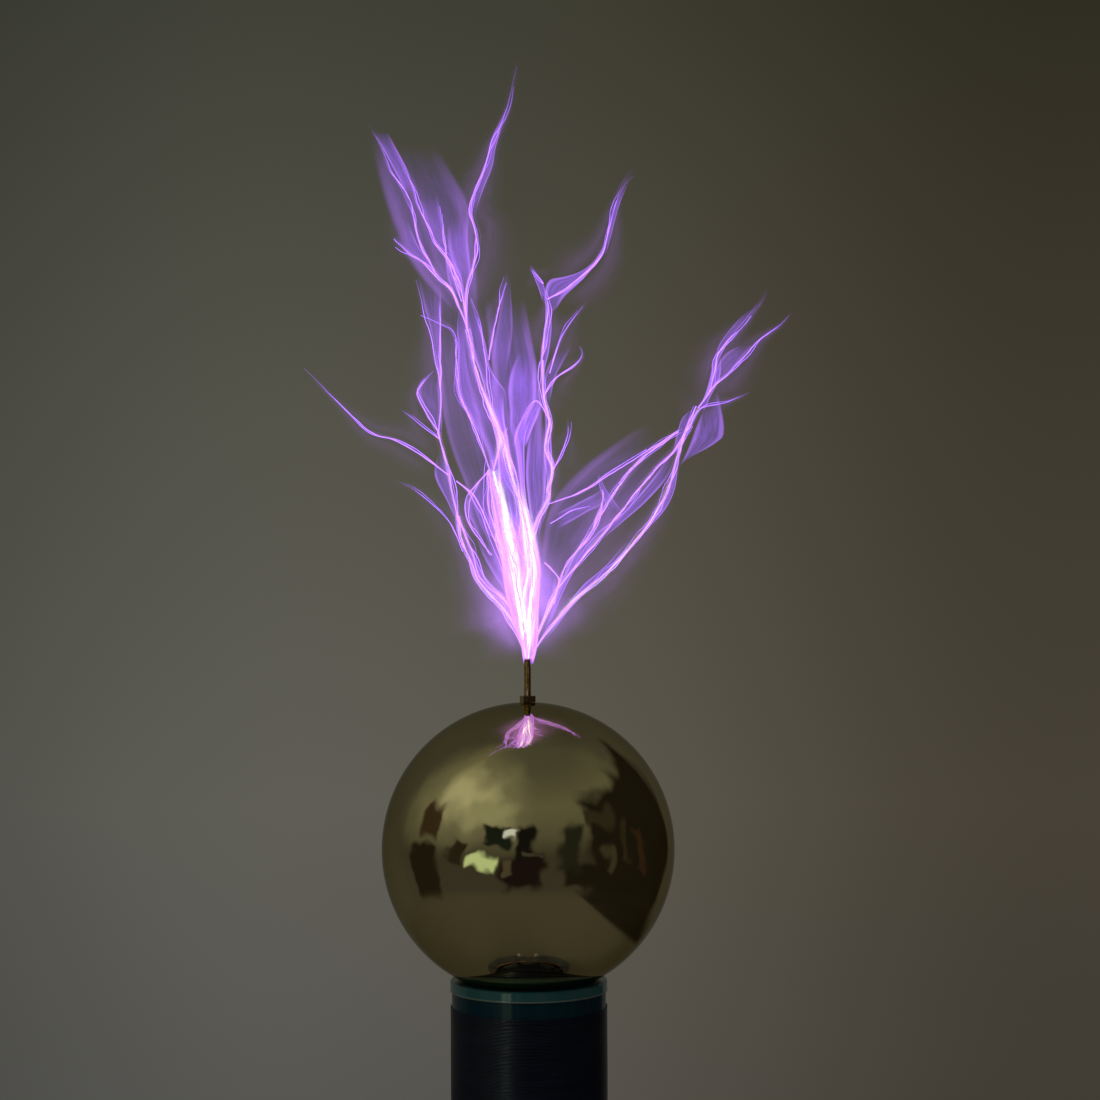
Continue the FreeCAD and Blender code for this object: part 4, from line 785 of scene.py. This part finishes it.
# thin sheets of glow between two edges that run from root to tip:
# family, heat at root and end, strength, bulge in mm, left edge, right edge
veils = [
    # the white body over the tip and the sheets that open out of it
    ("spine", (1.4, 1.0), 1.5, 5, [(-2, -3), (-4, 8), (-8, 21), (-12, 37), (-14, 50), (-17, 66), (-19, 82)],
     [(3, -3), (5, 8), (6, 21), (7, 37), (7, 50), (4, 66), (0, 82)]),
    ("spine", (1.4, 1.1), 1.3, 2, [(-2, -3), (-4, 10), (-7, 22), (-10, 38), (-12, 52), (-14, 66)], [(3, -3),
     (4, 10), (5, 22), (6, 38), (6, 52), (3, 66)]),
    ("spine", (1.1, 0.62), 0.34, 6, [(-10, 37), (-14, 60), (-17.5, 72), (-19, 84), (-19, 96), (-20, 104),
     (-23, 111), (-28, 121), (-34, 132)], [(4.6, 38), (4, 55), (2, 67), (0.5, 81), (-1.5, 94), (-2, 104),
     (-3, 112), (-6, 122), (-10, 134)]),
    ("spine", (1.1, 1.0), 0.85, 3, [(-9, 40), (-14, 60), (-17, 74), (-19, 88), (-19, 99)], [(-3, 40),
     (-6, 60), (-10, 76), (-13, 90), (-14, 101)]),
    ("spine", (1.0, 0.85), 0.6, 4, [(-14, 84), (-15, 98), (-16, 112), (-20, 126), (-24, 140)], [(-5, 84),
     (-7, 98), (-9, 112), (-11, 124), (-11, 137)]),
    ("middle", (1.0, 0.85), 0.55, 3, [(-2, 50), (-1, 66), (-3, 90), (-5, 104), (-6, 116), (0, 127)],
     [(5, 50), (3, 66), (0, 84), (-1, 100), (0, 114), (6, 130)]),
    ("spine", (0.68, 0.42), 0.28, 5, [(-22, 111), (-29, 122), (-34.5, 133), (-35.5, 148), (-35.5, 160),
     (-36, 168), (-35, 176), (-33, 186)], [(-10, 111), (-14, 124), (-19, 135), (-23.5, 144), (-28, 157),
     (-30.5, 171), (-31.5, 181), (-33, 190)]),
    ("spine", (0.68, 0.4), 0.28, 5, [(-16, 128), (-20, 138), (-24, 147), (-28, 158), (-30, 170),
     (-31, 186)], [(-10, 128), (-10.5, 137), (-14, 142), (-18, 149), (-21, 162), (-25, 176), (-30, 192)]),
    ("spine", (0.6, 0.3), 0.3, 3, [(-9, 114), (-9, 126), (-10, 138), (-8, 148), (-3, 158)], [(-1, 114),
     (0, 122), (5, 131), (6, 142), (6, 154)]),
    ("middle", (0.95, 0.75), 0.5, 2, [(-7, 108), (-5, 118), (0, 127), (5, 134)], [(0, 108), (3, 117),
     (6, 125), (8, 132)]),
    # the faint glow that fills the gaps between the families
    ("middle", (0.6, 0.4), 0.32, 3, [(4, 60), (1, 76), (-1, 92), (0, 106), (3, 122)], [(6, 60), (9, 78),
     (10.5, 92), (11, 106), (9, 122)]),
    ("spine", (0.35, 0.15), 0.17, 4, [(-14, 96), (-18, 130), (-19, 150), (-22, 185)], [(9, 96), (9, 130),
     (7, 150), (0, 185)]),
    ("right", (0.35, 0.2), 0.09, 3, [(5, 40), (12, 78), (30, 100), (62, 122)], [(10, 20), (30, 52),
     (52, 74), (80, 104)]),
    ("left", (0.35, 0.2), 0.1, 3, [(-8, 30), (-28, 78), (-42, 120), (-47, 160), (-48, 205)], [(-4, 30),
     (-14, 78), (-22, 120), (-30, 155), (-30, 195)]),
    ("leftTop", (0.3, 0.1), 0.1, 3, [(-36, 176), (-60, 203), (-72, 232), (-80, 268)], [(-24, 176),
     (-24, 204), (-28, 232), (-44, 262)]),
    # the upper left: fans at each side of the two loops
    ("leftTop", (0.5, 0.2), 0.2, 3, [(-42, 192), (-50, 200.5), (-58, 206.5), (-69, 215.5)], [(-41, 194),
     (-49, 204), (-55, 213), (-60, 226)]),
    ("leftTop", (0.45, 0.2), 0.16, 3, [(-41, 204), (-45.7, 212), (-51.6, 226), (-55, 236)], [(-40.5, 206),
     (-41, 214), (-42, 224), (-45, 238)]),
    ("spine", (0.5, 0.25), 0.2, 4, [(-32, 190), (-37.5, 203), (-40, 211), (-41, 222)], [(-28, 190),
     (-28, 204), (-29, 216), (-28.5, 231)]),
    ("leftTop", (0.6, 0.35), 0.2, 2, [(-36, 184), (-40, 194), (-41, 205), (-41, 216)], [(-31, 184),
     (-33, 196), (-37, 204), (-40, 214)]),
    ("leftTop", (0.5, 0.12), 0.26, 2, [(-59.5, 236), (-66, 247), (-73, 261), (-80, 271)], [(-57.5, 239),
     (-60.5, 250), (-66, 262), (-70, 270)]),
    ("spine", (0.5, 0.12), 0.26, 2, [(-29, 229), (-24, 245), (-20, 256), (-17.6, 267), (-12.5, 276),
     (-8, 285)], [(-25.5, 227), (-22, 238), (-17, 251), (-15.5, 262), (-11, 275), (-7, 285)]),
    # the forked sheet on the middle stem
    ("middle", (0.62, 0.45), 0.34, 1.5, [(6, 133), (7, 144), (7, 156), (9.4, 167), (10, 178), (9, 188)],
     [(8, 133), (9.4, 148), (12, 157), (13.4, 168), (13.4, 176), (17, 184)]),
    ("middle", (0.55, 0.3), 0.32, 2, [(10, 179), (9.5, 188), (12, 194), (19, 195.5), (27, 198), (34.5, 203),
     (40, 210)], [(12, 177), (16, 179), (20, 185), (27, 192), (34, 199.5), (39, 207), (42, 216)]),
    ("middle", (0.5, 0.25), 0.3, 1, [(9, 182), (7, 189), (5, 194), (1.6, 202)], [(11, 183), (10, 190),
     (7.5, 195), (2.4, 202)]),
    ("middle", (0.4, 0.15), 0.22, 1, [(39, 206), (42.5, 220), (46, 232), (52, 244)], [(41, 206), (45, 220),
     (49, 233), (54, 245)]),
    ("middle", (0.8, 0.6), 0.4, 1, [(3, 66), (7.5, 76), (10, 86), (10.5, 94), (9, 103), (9.3, 115),
     (9, 130)], [(7, 64), (10, 74), (12.6, 84), (12.8, 93), (13.6, 101), (12.8, 112), (12, 131)]),
    ("middle", (0.45, 0.25), 0.18, 3, [(9, 130), (9, 142), (11, 150), (16, 158)], [(12, 130), (15, 143),
     (19, 151), (24, 160)]),
    ("spine", (0.3, 0.12), 0.12, 3, [(-18, 150), (-16, 166), (-13, 182), (-9, 200)], [(-10, 144), (-8, 158),
     (-7, 174), (-8, 196)]),
    # the left: a leaf beside the body, its lower silk, the outer ribbon and the small high leaf
    ("left", (0.55, 0.5), 0.22, 4, [(-22.6, 59), (-27, 67), (-30.5, 74), (-30.5, 81), (-25, 89), (-20, 96)],
     [(-14, 60), (-16.5, 68), (-18, 75), (-18.6, 82), (-19, 89), (-19.5, 96)]),
    ("left", (0.7, 0.5), 0.24, 3, [(-6, 22), (-10.7, 32), (-17.5, 43), (-22.6, 53), (-27, 62)], [(-5, 24),
     (-9, 36), (-10.7, 47), (-13, 56), (-15, 66)]),
    ("left", (0.85, 0.5), 0.34, 2, [(-3, 13), (-7.3, 20.4), (-14, 29), (-22, 35), (-27, 42), (-31, 54),
     (-34, 66)], [(-2, 13), (-5.6, 21), (-10.7, 31.4), (-17.5, 37.4), (-23.5, 45), (-28.6, 58),
     (-32.8, 70)]),
    ("left", (0.5, 0.35), 0.24, 2, [(-34, 66), (-40.5, 80), (-46.8, 91), (-47.6, 98), (-45, 106)],
     [(-33, 68), (-36, 79), (-39, 91), (-42, 104), (-44, 110)]),
    ("left", (0.35, 0.15), 0.16, 2, [(-45, 112), (-51, 124), (-56, 134), (-55, 142), (-47, 148)],
     [(-43, 112), (-43, 124), (-43.5, 134), (-44, 142), (-45, 148)]),
    ("left", (0.4, 0.15), 0.18, 2, [(-44, 140), (-47, 158), (-50, 172), (-53, 182), (-57, 197)],
     [(-43, 140), (-44, 158), (-43, 172), (-42.5, 182), (-42, 192)]),
    # the right: ribbons along the three runs, and the far fans
    ("right", (0.9, 0.6), 0.32, 2, [(5.5, 6), (11.4, 21), (15.7, 34), (18.5, 41), (24, 53), (31, 65),
     (35, 71.5)], [(6.2, 6), (13, 21), (17.5, 32), (22, 41), (28.5, 51), (35, 60), (41, 68)]),
    ("right", (0.9, 0.65), 0.36, 1.5, [(7, 9), (15.7, 21), (20.8, 28), (28.4, 37.4), (37, 45), (45.4, 53.5),
     (54, 62)], [(6.3, 6), (14, 15.3), (20.8, 24), (28.4, 32), (37, 40.5), (45.4, 49), (54, 58)]),
    ("right", (0.65, 0.5), 0.28, 2, [(35, 62), (41, 68), (47.6, 72.5), (60, 86.4), (68, 97), (75.4, 107.6)],
     [(36, 58), (44, 65), (51.7, 71.5), (61.5, 80), (71.3, 91), (76.2, 101.9)]),
    ("right", (0.75, 0.5), 0.3, 1.5, [(58, 65), (64, 72), (69, 79), (73, 87), (76.2, 100), (78.7, 110)],
     [(59, 64), (66, 70), (72, 78), (76, 87), (77.6, 98), (79.2, 108)]),
    ("right", (0.5, 0.3), 0.24, 2, [(78, 97), (83, 107), (87, 118), (90, 126)], [(81, 101), (97, 110),
     (101.5, 117), (98, 138)]),
    ("right", (0.5, 0.4), 0.22, 1.5, [(75, 106), (77, 115), (80, 123), (86, 128)], [(79, 104), (80.5, 112),
     (83, 118), (88, 126)]),
    ("right", (0.6, 0.35), 0.3, 1.5, [(87.7, 126), (92, 135), (95, 148), (97.5, 157)], [(91, 125),
     (95, 134), (99.5, 144), (100, 156)]),
    ("right", (0.35, 0.15), 0.2, 2, [(97, 152), (98.5, 160), (106, 170), (114, 178)], [(99, 152),
     (104, 163), (112, 172), (119, 181)]),
    ("right", (0.35, 0.15), 0.16, 2, [(96, 144), (98, 151), (102, 156), (110, 160)], [(97, 141),
     (104, 146.5), (111, 154), (117, 161)]),
    ("right", (0.45, 0.3), 0.2, 2, [(14, 74), (26, 80), (34, 84), (40, 88)], [(16, 66), (30, 74), (38, 78),
     (42, 82)]),
    ("right", (0.5, 0.4), 0.24, 1, [(36, 95), (37, 88), (39.5, 81), (42, 76)], [(37, 95), (40, 88),
     (46, 80), (50, 74)]),
    ("right", (0.6, 0.4), 0.2, 2, [(4.6, 20), (5, 34), (6, 46), (9, 52)], [(8, 20), (13, 29), (15, 38),
     (15, 44)]),
]
veilRule = {"along": 40, "across": 10, "seed": 3}


def alongPath(path, share):
    lengths = [0.0]
    for (ax, ah), (bx, bh) in zip(path, path[1:]):
        lengths.append(lengths[-1] + math.hypot(bx - ax, bh - ah))
    at = share * lengths[-1]
    for k in range(len(path) - 1):
        if at <= lengths[k + 1] or k == len(path) - 2:
            part = (at - lengths[k]) / (lengths[k + 1] - lengths[k])
            before, after = path[max(k - 1, 0)], path[min(k + 2, len(path) - 1)]
            result = []
            for axis in (0, 1):     # a smooth curve through the points
                p0, p1, p2, p3 = before[axis], path[k][axis], path[k + 1][axis], after[axis]
                result.append(0.5 * (2 * p1 + (p2 - p0) * part + (2 * p0 - 5 * p1 + 4 * p2 - p3) * part ** 2
                                     + (3 * p1 - p0 - 3 * p2 + p3) * part ** 3))
            return result
    return path[-1]


def makeVeils():
    mesh = bpy.data.meshes.new("streamerVeils")
    points, faces, heats, fades, sides, places = [], [], [], [], [], []
    rows, columns = veilRule["along"], veilRule["across"]
    for number, (family, (hot, cool), strength, bulge, leftEdge, rightEdge) in enumerate(veils):
        first = len(points)
        for i in range(rows + 1):
            v = i / rows
            left, right = alongPath(leftEdge, v), alongPath(rightEdge, v)
            for j in range(columns + 1):
                u = j / columns
                x, height = left[0] + (right[0] - left[0]) * u, left[1] + (right[1] - left[1]) * u
                sway = noise.noise(Vector((x * 0.06, height * 0.04, number * 5.3 + veilRule["seed"])))
                push = bulge * math.sin(math.pi * u) + 4 * sway
                points.append(airPoint(family, x + sway, height, push))
                heats.append(hot + (cool - hot) * v)
                start, finish = min(1.0, v / (0.08 if strength > 0.9 else 0.26)), min(1.0, (1 - v) / 0.36)
                fades.append(strength * start * start * (3 - 2 * start)
                             * finish * finish * (3 - 2 * finish))
                sides.append(u)
                places.append((u + number * 3.1, v * 2 + number * 1.7))
        for i in range(rows):
            for j in range(columns):
                a = first + i * (columns + 1) + j
                faces.append((a, a + 1, a + columns + 2, a + columns + 1))
    mesh.from_pydata(points, [], faces)
    mesh.attributes.new("heat", "FLOAT", "POINT").data.foreach_set("value", heats)
    mesh.attributes.new("fade", "FLOAT", "POINT").data.foreach_set("value", fades)
    mesh.attributes.new("side", "FLOAT", "POINT").data.foreach_set("value", sides)
    layer = mesh.uv_layers.new(name="veil")
    for loop in mesh.loops:
        layer.data[loop.index].uv = places[loop.vertex_index]
    mesh.materials.append(veilGlow)
    return meshObject("streamerVeils", mesh)


rideOn(cores, "pin", "plasma", "streamers")
rideOn(haze, "pin", "plasma")
rideOn(makeVeils(), "pin", "plasma")
print("stage: veils made")


# ball
ballRule = {"wall": 1.2 * mm, "rings": 170, "segments": 192, "topHole": 2.0 * mm}


def makeBall():
    low = ballLow.z - ballCentre.z          # the hole at the foot leaves a flat rim there
    footRadius = math.sqrt(max(ballRadius ** 2 - low ** 2, 0))
    start = math.atan2(footRadius, -low)
    top = math.asin(ballRule["topHole"] / ballRadius)
    profile = []
    for radius, count, backwards in ((ballRadius, ballRule["rings"], False),
                                     (ballRadius - ballRule["wall"], 60, True)):
        a0 = start if not backwards else math.asin(min(footRadius / radius, 1.0))
        a1 = math.pi - (top if not backwards else math.asin(ballRule["topHole"] / radius))
        steps = [a0 + (a1 - a0) * k / count for k in range(count + 1)]
        for a in (reversed(steps) if backwards else steps):
            profile.append((radius * math.sin(a), ballCentre.z - radius * math.cos(a)))
    piece = lathe("ballShell", profile, ballRule["segments"])
    piece.data.materials.append(made["ball_brass"])
    return piece


rideOn(makeBall(), "ball", "ball_brass", "ball_shell")

# threaded pin
threadRule = {"pitch": 0.7 * mm, "depth": 0.38 * mm, "around": 28, "perTurn": 7, "chamfer": 0.6 * mm}


def makePin():
    mesh = bpy.data.meshes.new("dischargePin")
    radius = (pinHigh.x - pinLow.x) / 2
    length = pinHigh.z - pinLow.z
    rows = int(length / threadRule["pitch"] * threadRule["perTurn"])
    around = threadRule["around"]
    points, faces = [], []
    for i in range(rows + 1):
        z = length * i / rows
        for k in range(around):
            turn = k / around
            wave = abs(((z / threadRule["pitch"] - turn) % 1.0) * 2 - 1)
            cut = threadRule["depth"] * min(1.0, wave * 1.25)
            ends = max(0.0, threadRule["chamfer"] - min(z, length - z))
            r = radius - max(cut, ends)
            a = 2 * math.pi * turn
            points.append((r * math.cos(a), r * math.sin(a), pinLow.z + z))
    for i in range(rows):
        for k in range(around):
            n = (k + 1) % around
            faces.append((i * around + k, i * around + n, (i + 1) * around + n, (i + 1) * around + k))
    bottom, top = len(points), len(points) + 1
    points += [(0, 0, pinLow.z), (0, 0, pinHigh.z)]
    for k in range(around):
        n = (k + 1) % around
        faces.append((bottom, n, k))
        faces.append((top, rows * around + k, rows * around + n))
    mesh.from_pydata(points, [], faces)
    mesh.materials.append(made["brass"])
    return meshObject("dischargePin", mesh, smooth=False)


rideOn(makePin(), "pin", "brass", "discharge_pin")

# winding
windingLow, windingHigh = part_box("secondary_winding")
windingRule = {"pitch": 0.7 * mm, "segments": 76, "sides": 5}


def windingTree():
    tree, given, out = newGeometryTree("wireSpiral", [
        ("Turns", "Float", 200.0), ("Radius", "Float", 0.04), ("Height", "Float", 0.16),
        ("Base", "Float", 0.09),
        ("Wire Radius", "Float", 0.0004), ("Resolution", "Int", 76), ("Sides", "Int", 5)])
    spiral = firstOf(tree, "GeometryNodeCurveSpiral",
                     {"Resolution": given["Resolution"], "Rotations": given["Turns"],
                      "Start Radius": given["Radius"],
                      "End Radius": given["Radius"], "Height": given["Height"]})
    lift = firstOf(tree, "ShaderNodeCombineXYZ", {2: given["Base"]})
    spiral = firstOf(tree, "GeometryNodeTransform", {"Geometry": spiral, "Translation": lift})
    spiral = firstOf(tree, "GeometryNodeSetCurveRadius", {"Curve": spiral, "Radius": given["Wire Radius"]})
    ring = firstOf(tree, "GeometryNodeCurvePrimitiveCircle", {"Resolution": given["Sides"], "Radius": 1.0})
    wire = sweep(tree, spiral, ring, given["Wire Radius"])
    smooth = firstOf(tree, "GeometryNodeSetShadeSmooth", {0: wire, "Shade Smooth": True})
    endTree(tree, smooth, made["magnet_wire"], out)
    return tree


wireRadius = windingRule["pitch"] * 0.53
windingHeight = windingHigh.z - windingLow.z - 2 * wireRadius
winding = meshObject("secondaryWinding", bpy.data.meshes.new("secondaryWinding"))
asPlainMesh(winding, windingTree(), {
    "Turns": round(windingHeight / windingRule["pitch"]) * 1.0, "Radius": windingHigh.x - wireRadius,
    "Height": windingHeight, "Base": windingLow.z + wireRadius, "Wire Radius": wireRadius,
    "Resolution": windingRule["segments"], "Sides": windingRule["sides"]}, made["magnet_wire"])
rideOn(winding, "column", "magnet_wire", "secondary_winding")
print("stage: winding", len(winding.data.polygons))


# polished bead where the cap's rim meets the tube, in a paler grey-green that paints a highlight line along
# the joint, besides the highlights its curve catches
capLow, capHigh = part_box("top_cap")
beadRule = {"height": 5.0 * mm, "half": 0.5 * mm, "out": 0.14 * mm, "segments": 160}


def makeBead():
    middle, outer = capHigh.z - beadRule["height"], capHigh.x
    profile = []
    for k in range(13):
        a = -math.pi / 2 + math.pi * k / 12
        profile.append((outer - 0.1 * mm + (beadRule["out"] + 0.1 * mm) * math.cos(a),
                        middle + beadRule["half"] * math.sin(a)))
    piece = lathe("jointBead", profile, beadRule["segments"])
    piece.data.materials.append(beadHighlightTint)
    return piece


rideOn(makeBead(), "column", "cap_acrylic")


# everything else keeps its CAD shape and gets its finish
for part in record["subparts"]:
    solid = nodes[part["node"]]
    solid.data.materials.clear()
    solid.data.materials.append(made[part["material_slot"]])

# floor, light and room
floorRule = {"radius": 0.85, "colour": (0.6, 0.6, 0.58), "fadeFrom": 0.5}


def makeFloor():
    mesh = bpy.data.meshes.new("paleFloor")
    disc = bmesh.new()
    bmesh.ops.create_circle(disc, cap_ends=True, segments=96, radius=floorRule["radius"])
    disc.to_mesh(mesh)
    disc.free()
    floor = meshObject("paleFloor", mesh, smooth=False)
    material, tree, shader = startMaterial("paleFloor")
    place = objectPlace(tree)
    away = addNode(tree, "ShaderNodeVectorMath", {0: place}, operation="LENGTH").outputs["Value"]
    tree.links.new(ease(tree, away, floorRule["fadeFrom"], floorRule["radius"] * 0.98, 1.0, 0.0),
                   shader.inputs["Alpha"])
    side = addNode(tree, "ShaderNodeSeparateXYZ", {0: place})
    # painted reflection: only glossy rays see the floor as dark olive-brown, darker again past a slanted
    # line to the right
    paintedReflectionSplit = ease(tree, plus(tree, side.outputs[0], times(tree, side.outputs[1], 0.13)), 0.34, 0.38)
    paintedReflection = mixColour(tree, paintedReflectionSplit, rgba((0.075, 0.07, 0.055)), rgba((0.014, 0.012, 0.008)))
    glossy = addNode(tree, "ShaderNodeLightPath").outputs["Is Glossy Ray"]
    tree.links.new(mixColour(tree, glossy, rgba(floorRule["colour"]), paintedReflection),
                   shader.inputs["Base Color"])
    setInputs(shader, Roughness=0.7, Specular_IOR_Level=0.2)
    mesh.materials.append(material)


def softLight(name, place, target, width, height, watts, colour, seenInGloss=False):
    data = bpy.data.lights.new(name, "AREA")
    data.shape, data.size, data.size_y = "RECTANGLE", width, height
    data.energy, data.color = watts, colour
    lamp = bpy.data.objects.new(name, data)
    lamp.location = place
    lamp.rotation_euler = (Vector(target) - Vector(place)).to_track_quat("-Z", "Y").to_euler()
    lamp.visible_glossy = seenInGloss
    lamp.visible_camera = False
    bpy.context.scene.collection.objects.link(lamp)
    return lamp


makeFloor()
softLight("keyLight", (-1.1, -1.2, 1.5), (0, 0, 0.25), 1.0, 0.8, 26, (1.0, 0.98, 0.9))
softLight("fillLight", (1.3, -0.7, 0.9), (0, 0, 0.2), 1.2, 1.0, 9, (0.95, 0.97, 1.0))
softLight("backLight", (0.4, 1.4, 1.3), (0, 0, 0.3), 1.2, 0.8, 10, (1.0, 0.98, 0.94))

# a small lamp that only the column shows, as a thin upright gleam on the varnish
gleam = softLight("gleamLight", (-0.75, -1.15, 0.4), (0, 0, 0.2), 0.1, 0.1, 2.2, (0.85, 1.0, 0.95),
                  seenInGloss=True)
shown = bpy.data.collections.new("shownToGleam")
for piece in (winding, nodes["coil_former"], nodes["top_cap"], bpy.data.objects["jointBead"]):
    shown.objects.link(piece)
gleam.light_linking.receiver_collection = shown

# what surrounds the object: an olive-grey wall with painted light, brightest in the middle and just below
# level, and painted shade towards the right, the top and the bottom; and soft lit and dark fields that the
# polish reflects
room = {
    # the wall steps paint light just below level and shade towards the top and the bottom
    "wall": [(-0.33, (0.06, 0.056, 0.042)), (-0.21, (0.086, 0.084, 0.074)), (-0.1, (0.102, 0.099, 0.081)),
             (0.06, (0.078, 0.076, 0.059)), (0.21, (0.047, 0.0475, 0.0345)), (0.38, (0.036, 0.036, 0.027))],
    "diffuse": (0.24, 0.235, 0.21),
    "gloss": [(-0.9, (0.05, 0.046, 0.038)), (-0.3, (0.055, 0.05, 0.042)), (0.0, (0.05, 0.048, 0.036)),
              (0.3, (0.11, 0.11, 0.078)), (0.62, (0.15, 0.15, 0.107)), (0.94, (0.1, 0.102, 0.08))],
    # in degrees: azimuth from the front, elevation, half width, half height, softness; then the colour
    "fields": [
        (-62, 42, 46, 22, 26, (0.2, 0.2, 0.145)),
        (-58, 40, 24, 7, 16, (0.52, 0.53, 0.39)),
        (-35, 33, 16, 5, 12, (0.34, 0.35, 0.25)),
        (180, 5, 56, 60, 30, (0.075, 0.073, 0.062)),
        (96, 0, 42, 38, 8, (0.014, 0.012, 0.008)),
        (75, -13, 44, 7, 5, (0.014, 0.012, 0.008)),
        (62, 24, 12, 5, 5, (0.035, 0.03, 0.02)),
        (66, -2, 3, 8, 3, (0.05, 0.045, 0.032)),
        (84, 4, 2.5, 10, 3, (0.03, 0.025, 0.015)),
        (100, -2, 3, 12, 3, (0.035, 0.02, 0.012)),
        (-86, 18, 9, 8, 4, (0.045, 0.03, 0.018)),
        (-88, -12, 12, 14, 4, (0.018, 0.013, 0.009)),
        (-58, 3, 7, 7, 3, (0.026, 0.02, 0.014)),
        (-25, 14, 10, 8, 3, (0.012, 0.017, 0.012)),
        (0, 5, 8, 18, 4, (0.009, 0.008, 0.008)),
        (-4, -13, 14, 8, 5, (0.014, 0.008, 0.009)),
        (35, 5, 8, 13, 6, (0.018, 0.02, 0.014)),
        (-14, -8, 2, 4, 2, (0.08, 0.07, 0.05)),
        (4, 2, 4, 1.2, 2, (0.06, 0.055, 0.05)),
        (-34, -5, 11, 2.6, 3, (0.62, 0.8, 0.5)),
        (-15, 17, 4, 2.6, 2, (0.75, 0.85, 1.0)),
    ],
}


def makeSoftField():
    tree, given, out = newGroup("softField", [
        ("Azimuth", "Float", 0.0), ("Elevation", "Float", 0.0), ("Middle Azimuth", "Float", 0.0),
        ("Middle Elevation", "Float", 0.0), ("Half Width", "Float", 10.0), ("Half Height", "Float", 10.0),
        ("Softness", "Float", 5.0)], [("Mask", "Float")])
    turned = minus(tree, given["Azimuth"], given["Middle Azimuth"])
    turned = firstOf(tree, "ShaderNodeMath", {0: turned, 1: 180.0, 2: -180.0}, operation="WRAP")
    masks = []
    for value, half in ((turned, given["Half Width"]),
                        (minus(tree, given["Elevation"], given["Middle Elevation"]),
                         given["Half Height"])):
        outside = minus(tree, maths(tree, "ABSOLUTE", value), half)
        masks.append(firstOf(tree, "ShaderNodeMapRange", {
            "Value": outside, "From Min": given["Softness"],
            "From Max": times(tree, given["Softness"], -0.3),
            "To Min": 0.0, "To Max": 1.0}, interpolation_type="SMOOTHSTEP"))
    tree.links.new(times(tree, *masks), out["Mask"])
    return tree


def colourSteps(tree, value, low, high, steps):
    ramp = addNode(tree, "ShaderNodeValToRGB", {0: firstOf(tree, "ShaderNodeMapRange", {
        "Value": value, "From Min": low, "From Max": high})})
    stops = ramp.color_ramp.elements
    for k, (at, colour) in enumerate(steps):
        share = (at - low) / (high - low)
        stop = stops[k] if k < 2 else stops.new(share)
        stop.position, stop.color = share, rgba(colour)
    return ramp.outputs[0]


def makeWorld():
    world = bpy.data.worlds.new("quietRoom")
    bpy.context.scene.world = world
    world.use_nodes = True
    tree = world.node_tree
    way = addNode(tree, "ShaderNodeTexCoord").outputs["Generated"]
    parts = addNode(tree, "ShaderNodeSeparateXYZ", {0: way}).outputs
    elevation = times(tree, maths(tree, "ARCSINE", parts[2]), 57.29578)
    azimuth = maths(tree, "MULTIPLY",
                    maths(tree, "ARCTAN2", parts[0], times(tree, parts[1], -1.0)), 57.29578)
    gloss = colourSteps(tree, parts[2], -0.95, 0.95, room["gloss"])
    clutter = noiseOf(tree, way, 3.4, 1.6, output=1)
    bend = addNode(tree, "ShaderNodeSeparateXYZ", {0: clutter}).outputs
    azimuth = plus(tree, azimuth, times(tree, minus(tree, bend[0], 0.5), 26.0))
    elevation = plus(tree, elevation, times(tree, minus(tree, bend[1], 0.5), 22.0))
    softField = makeSoftField()
    for az, el, width, height, soft, colour in room["fields"]:
        field = useGroup(tree, softField, **{"Azimuth": azimuth, "Elevation": elevation,
                                             "Middle Azimuth": float(az),
                                             "Middle Elevation": float(el), "Half Width": float(width),
                                             "Half Height": float(height), "Softness": float(soft)})
        gloss = mixColour(tree, field.outputs[0], gloss, rgba(colour))
    # painted light on the wall: lighter just below level, darker towards the top and the bottom
    wall = colourSteps(tree, parts[2], -0.35, 0.4, room["wall"])
    # painted shade on the wall: its right side darker and browner
    shade = ease(tree, parts[0], -0.2, 0.2)
    sides = mixColour(tree, shade, rgba((1.0, 1.01, 1.04)), rgba((0.86, 0.76, 0.66)))
    # a painted pool of light in the middle of the wall, with painted shade towards both sides
    middle = ease(tree, maths(tree, "ABSOLUTE", plus(tree, parts[0], 0.05)), 0.04, 0.25, 1.16, 0.72)
    wall = mixColour(tree, 1.0, wall, sides, "MULTIPLY")
    wall = firstOf(tree, "ShaderNodeVectorMath", {0: wall, "Scale": middle}, operation="SCALE")
    path = addNode(tree, "ShaderNodeLightPath").outputs
    seen = mixColour(tree, path["Is Glossy Ray"], rgba(room["diffuse"]), gloss)
    seen = mixColour(tree, path["Is Camera Ray"], seen, wall)
    tree.links.new(seen, tree.nodes["Background"].inputs["Color"])


makeWorld()
scene = bpy.context.scene
scene.view_settings.view_transform = "Standard"
scene.cycles.transparent_max_bounces = 96
scene.cycles.max_bounces = 8
print("stage: room made")
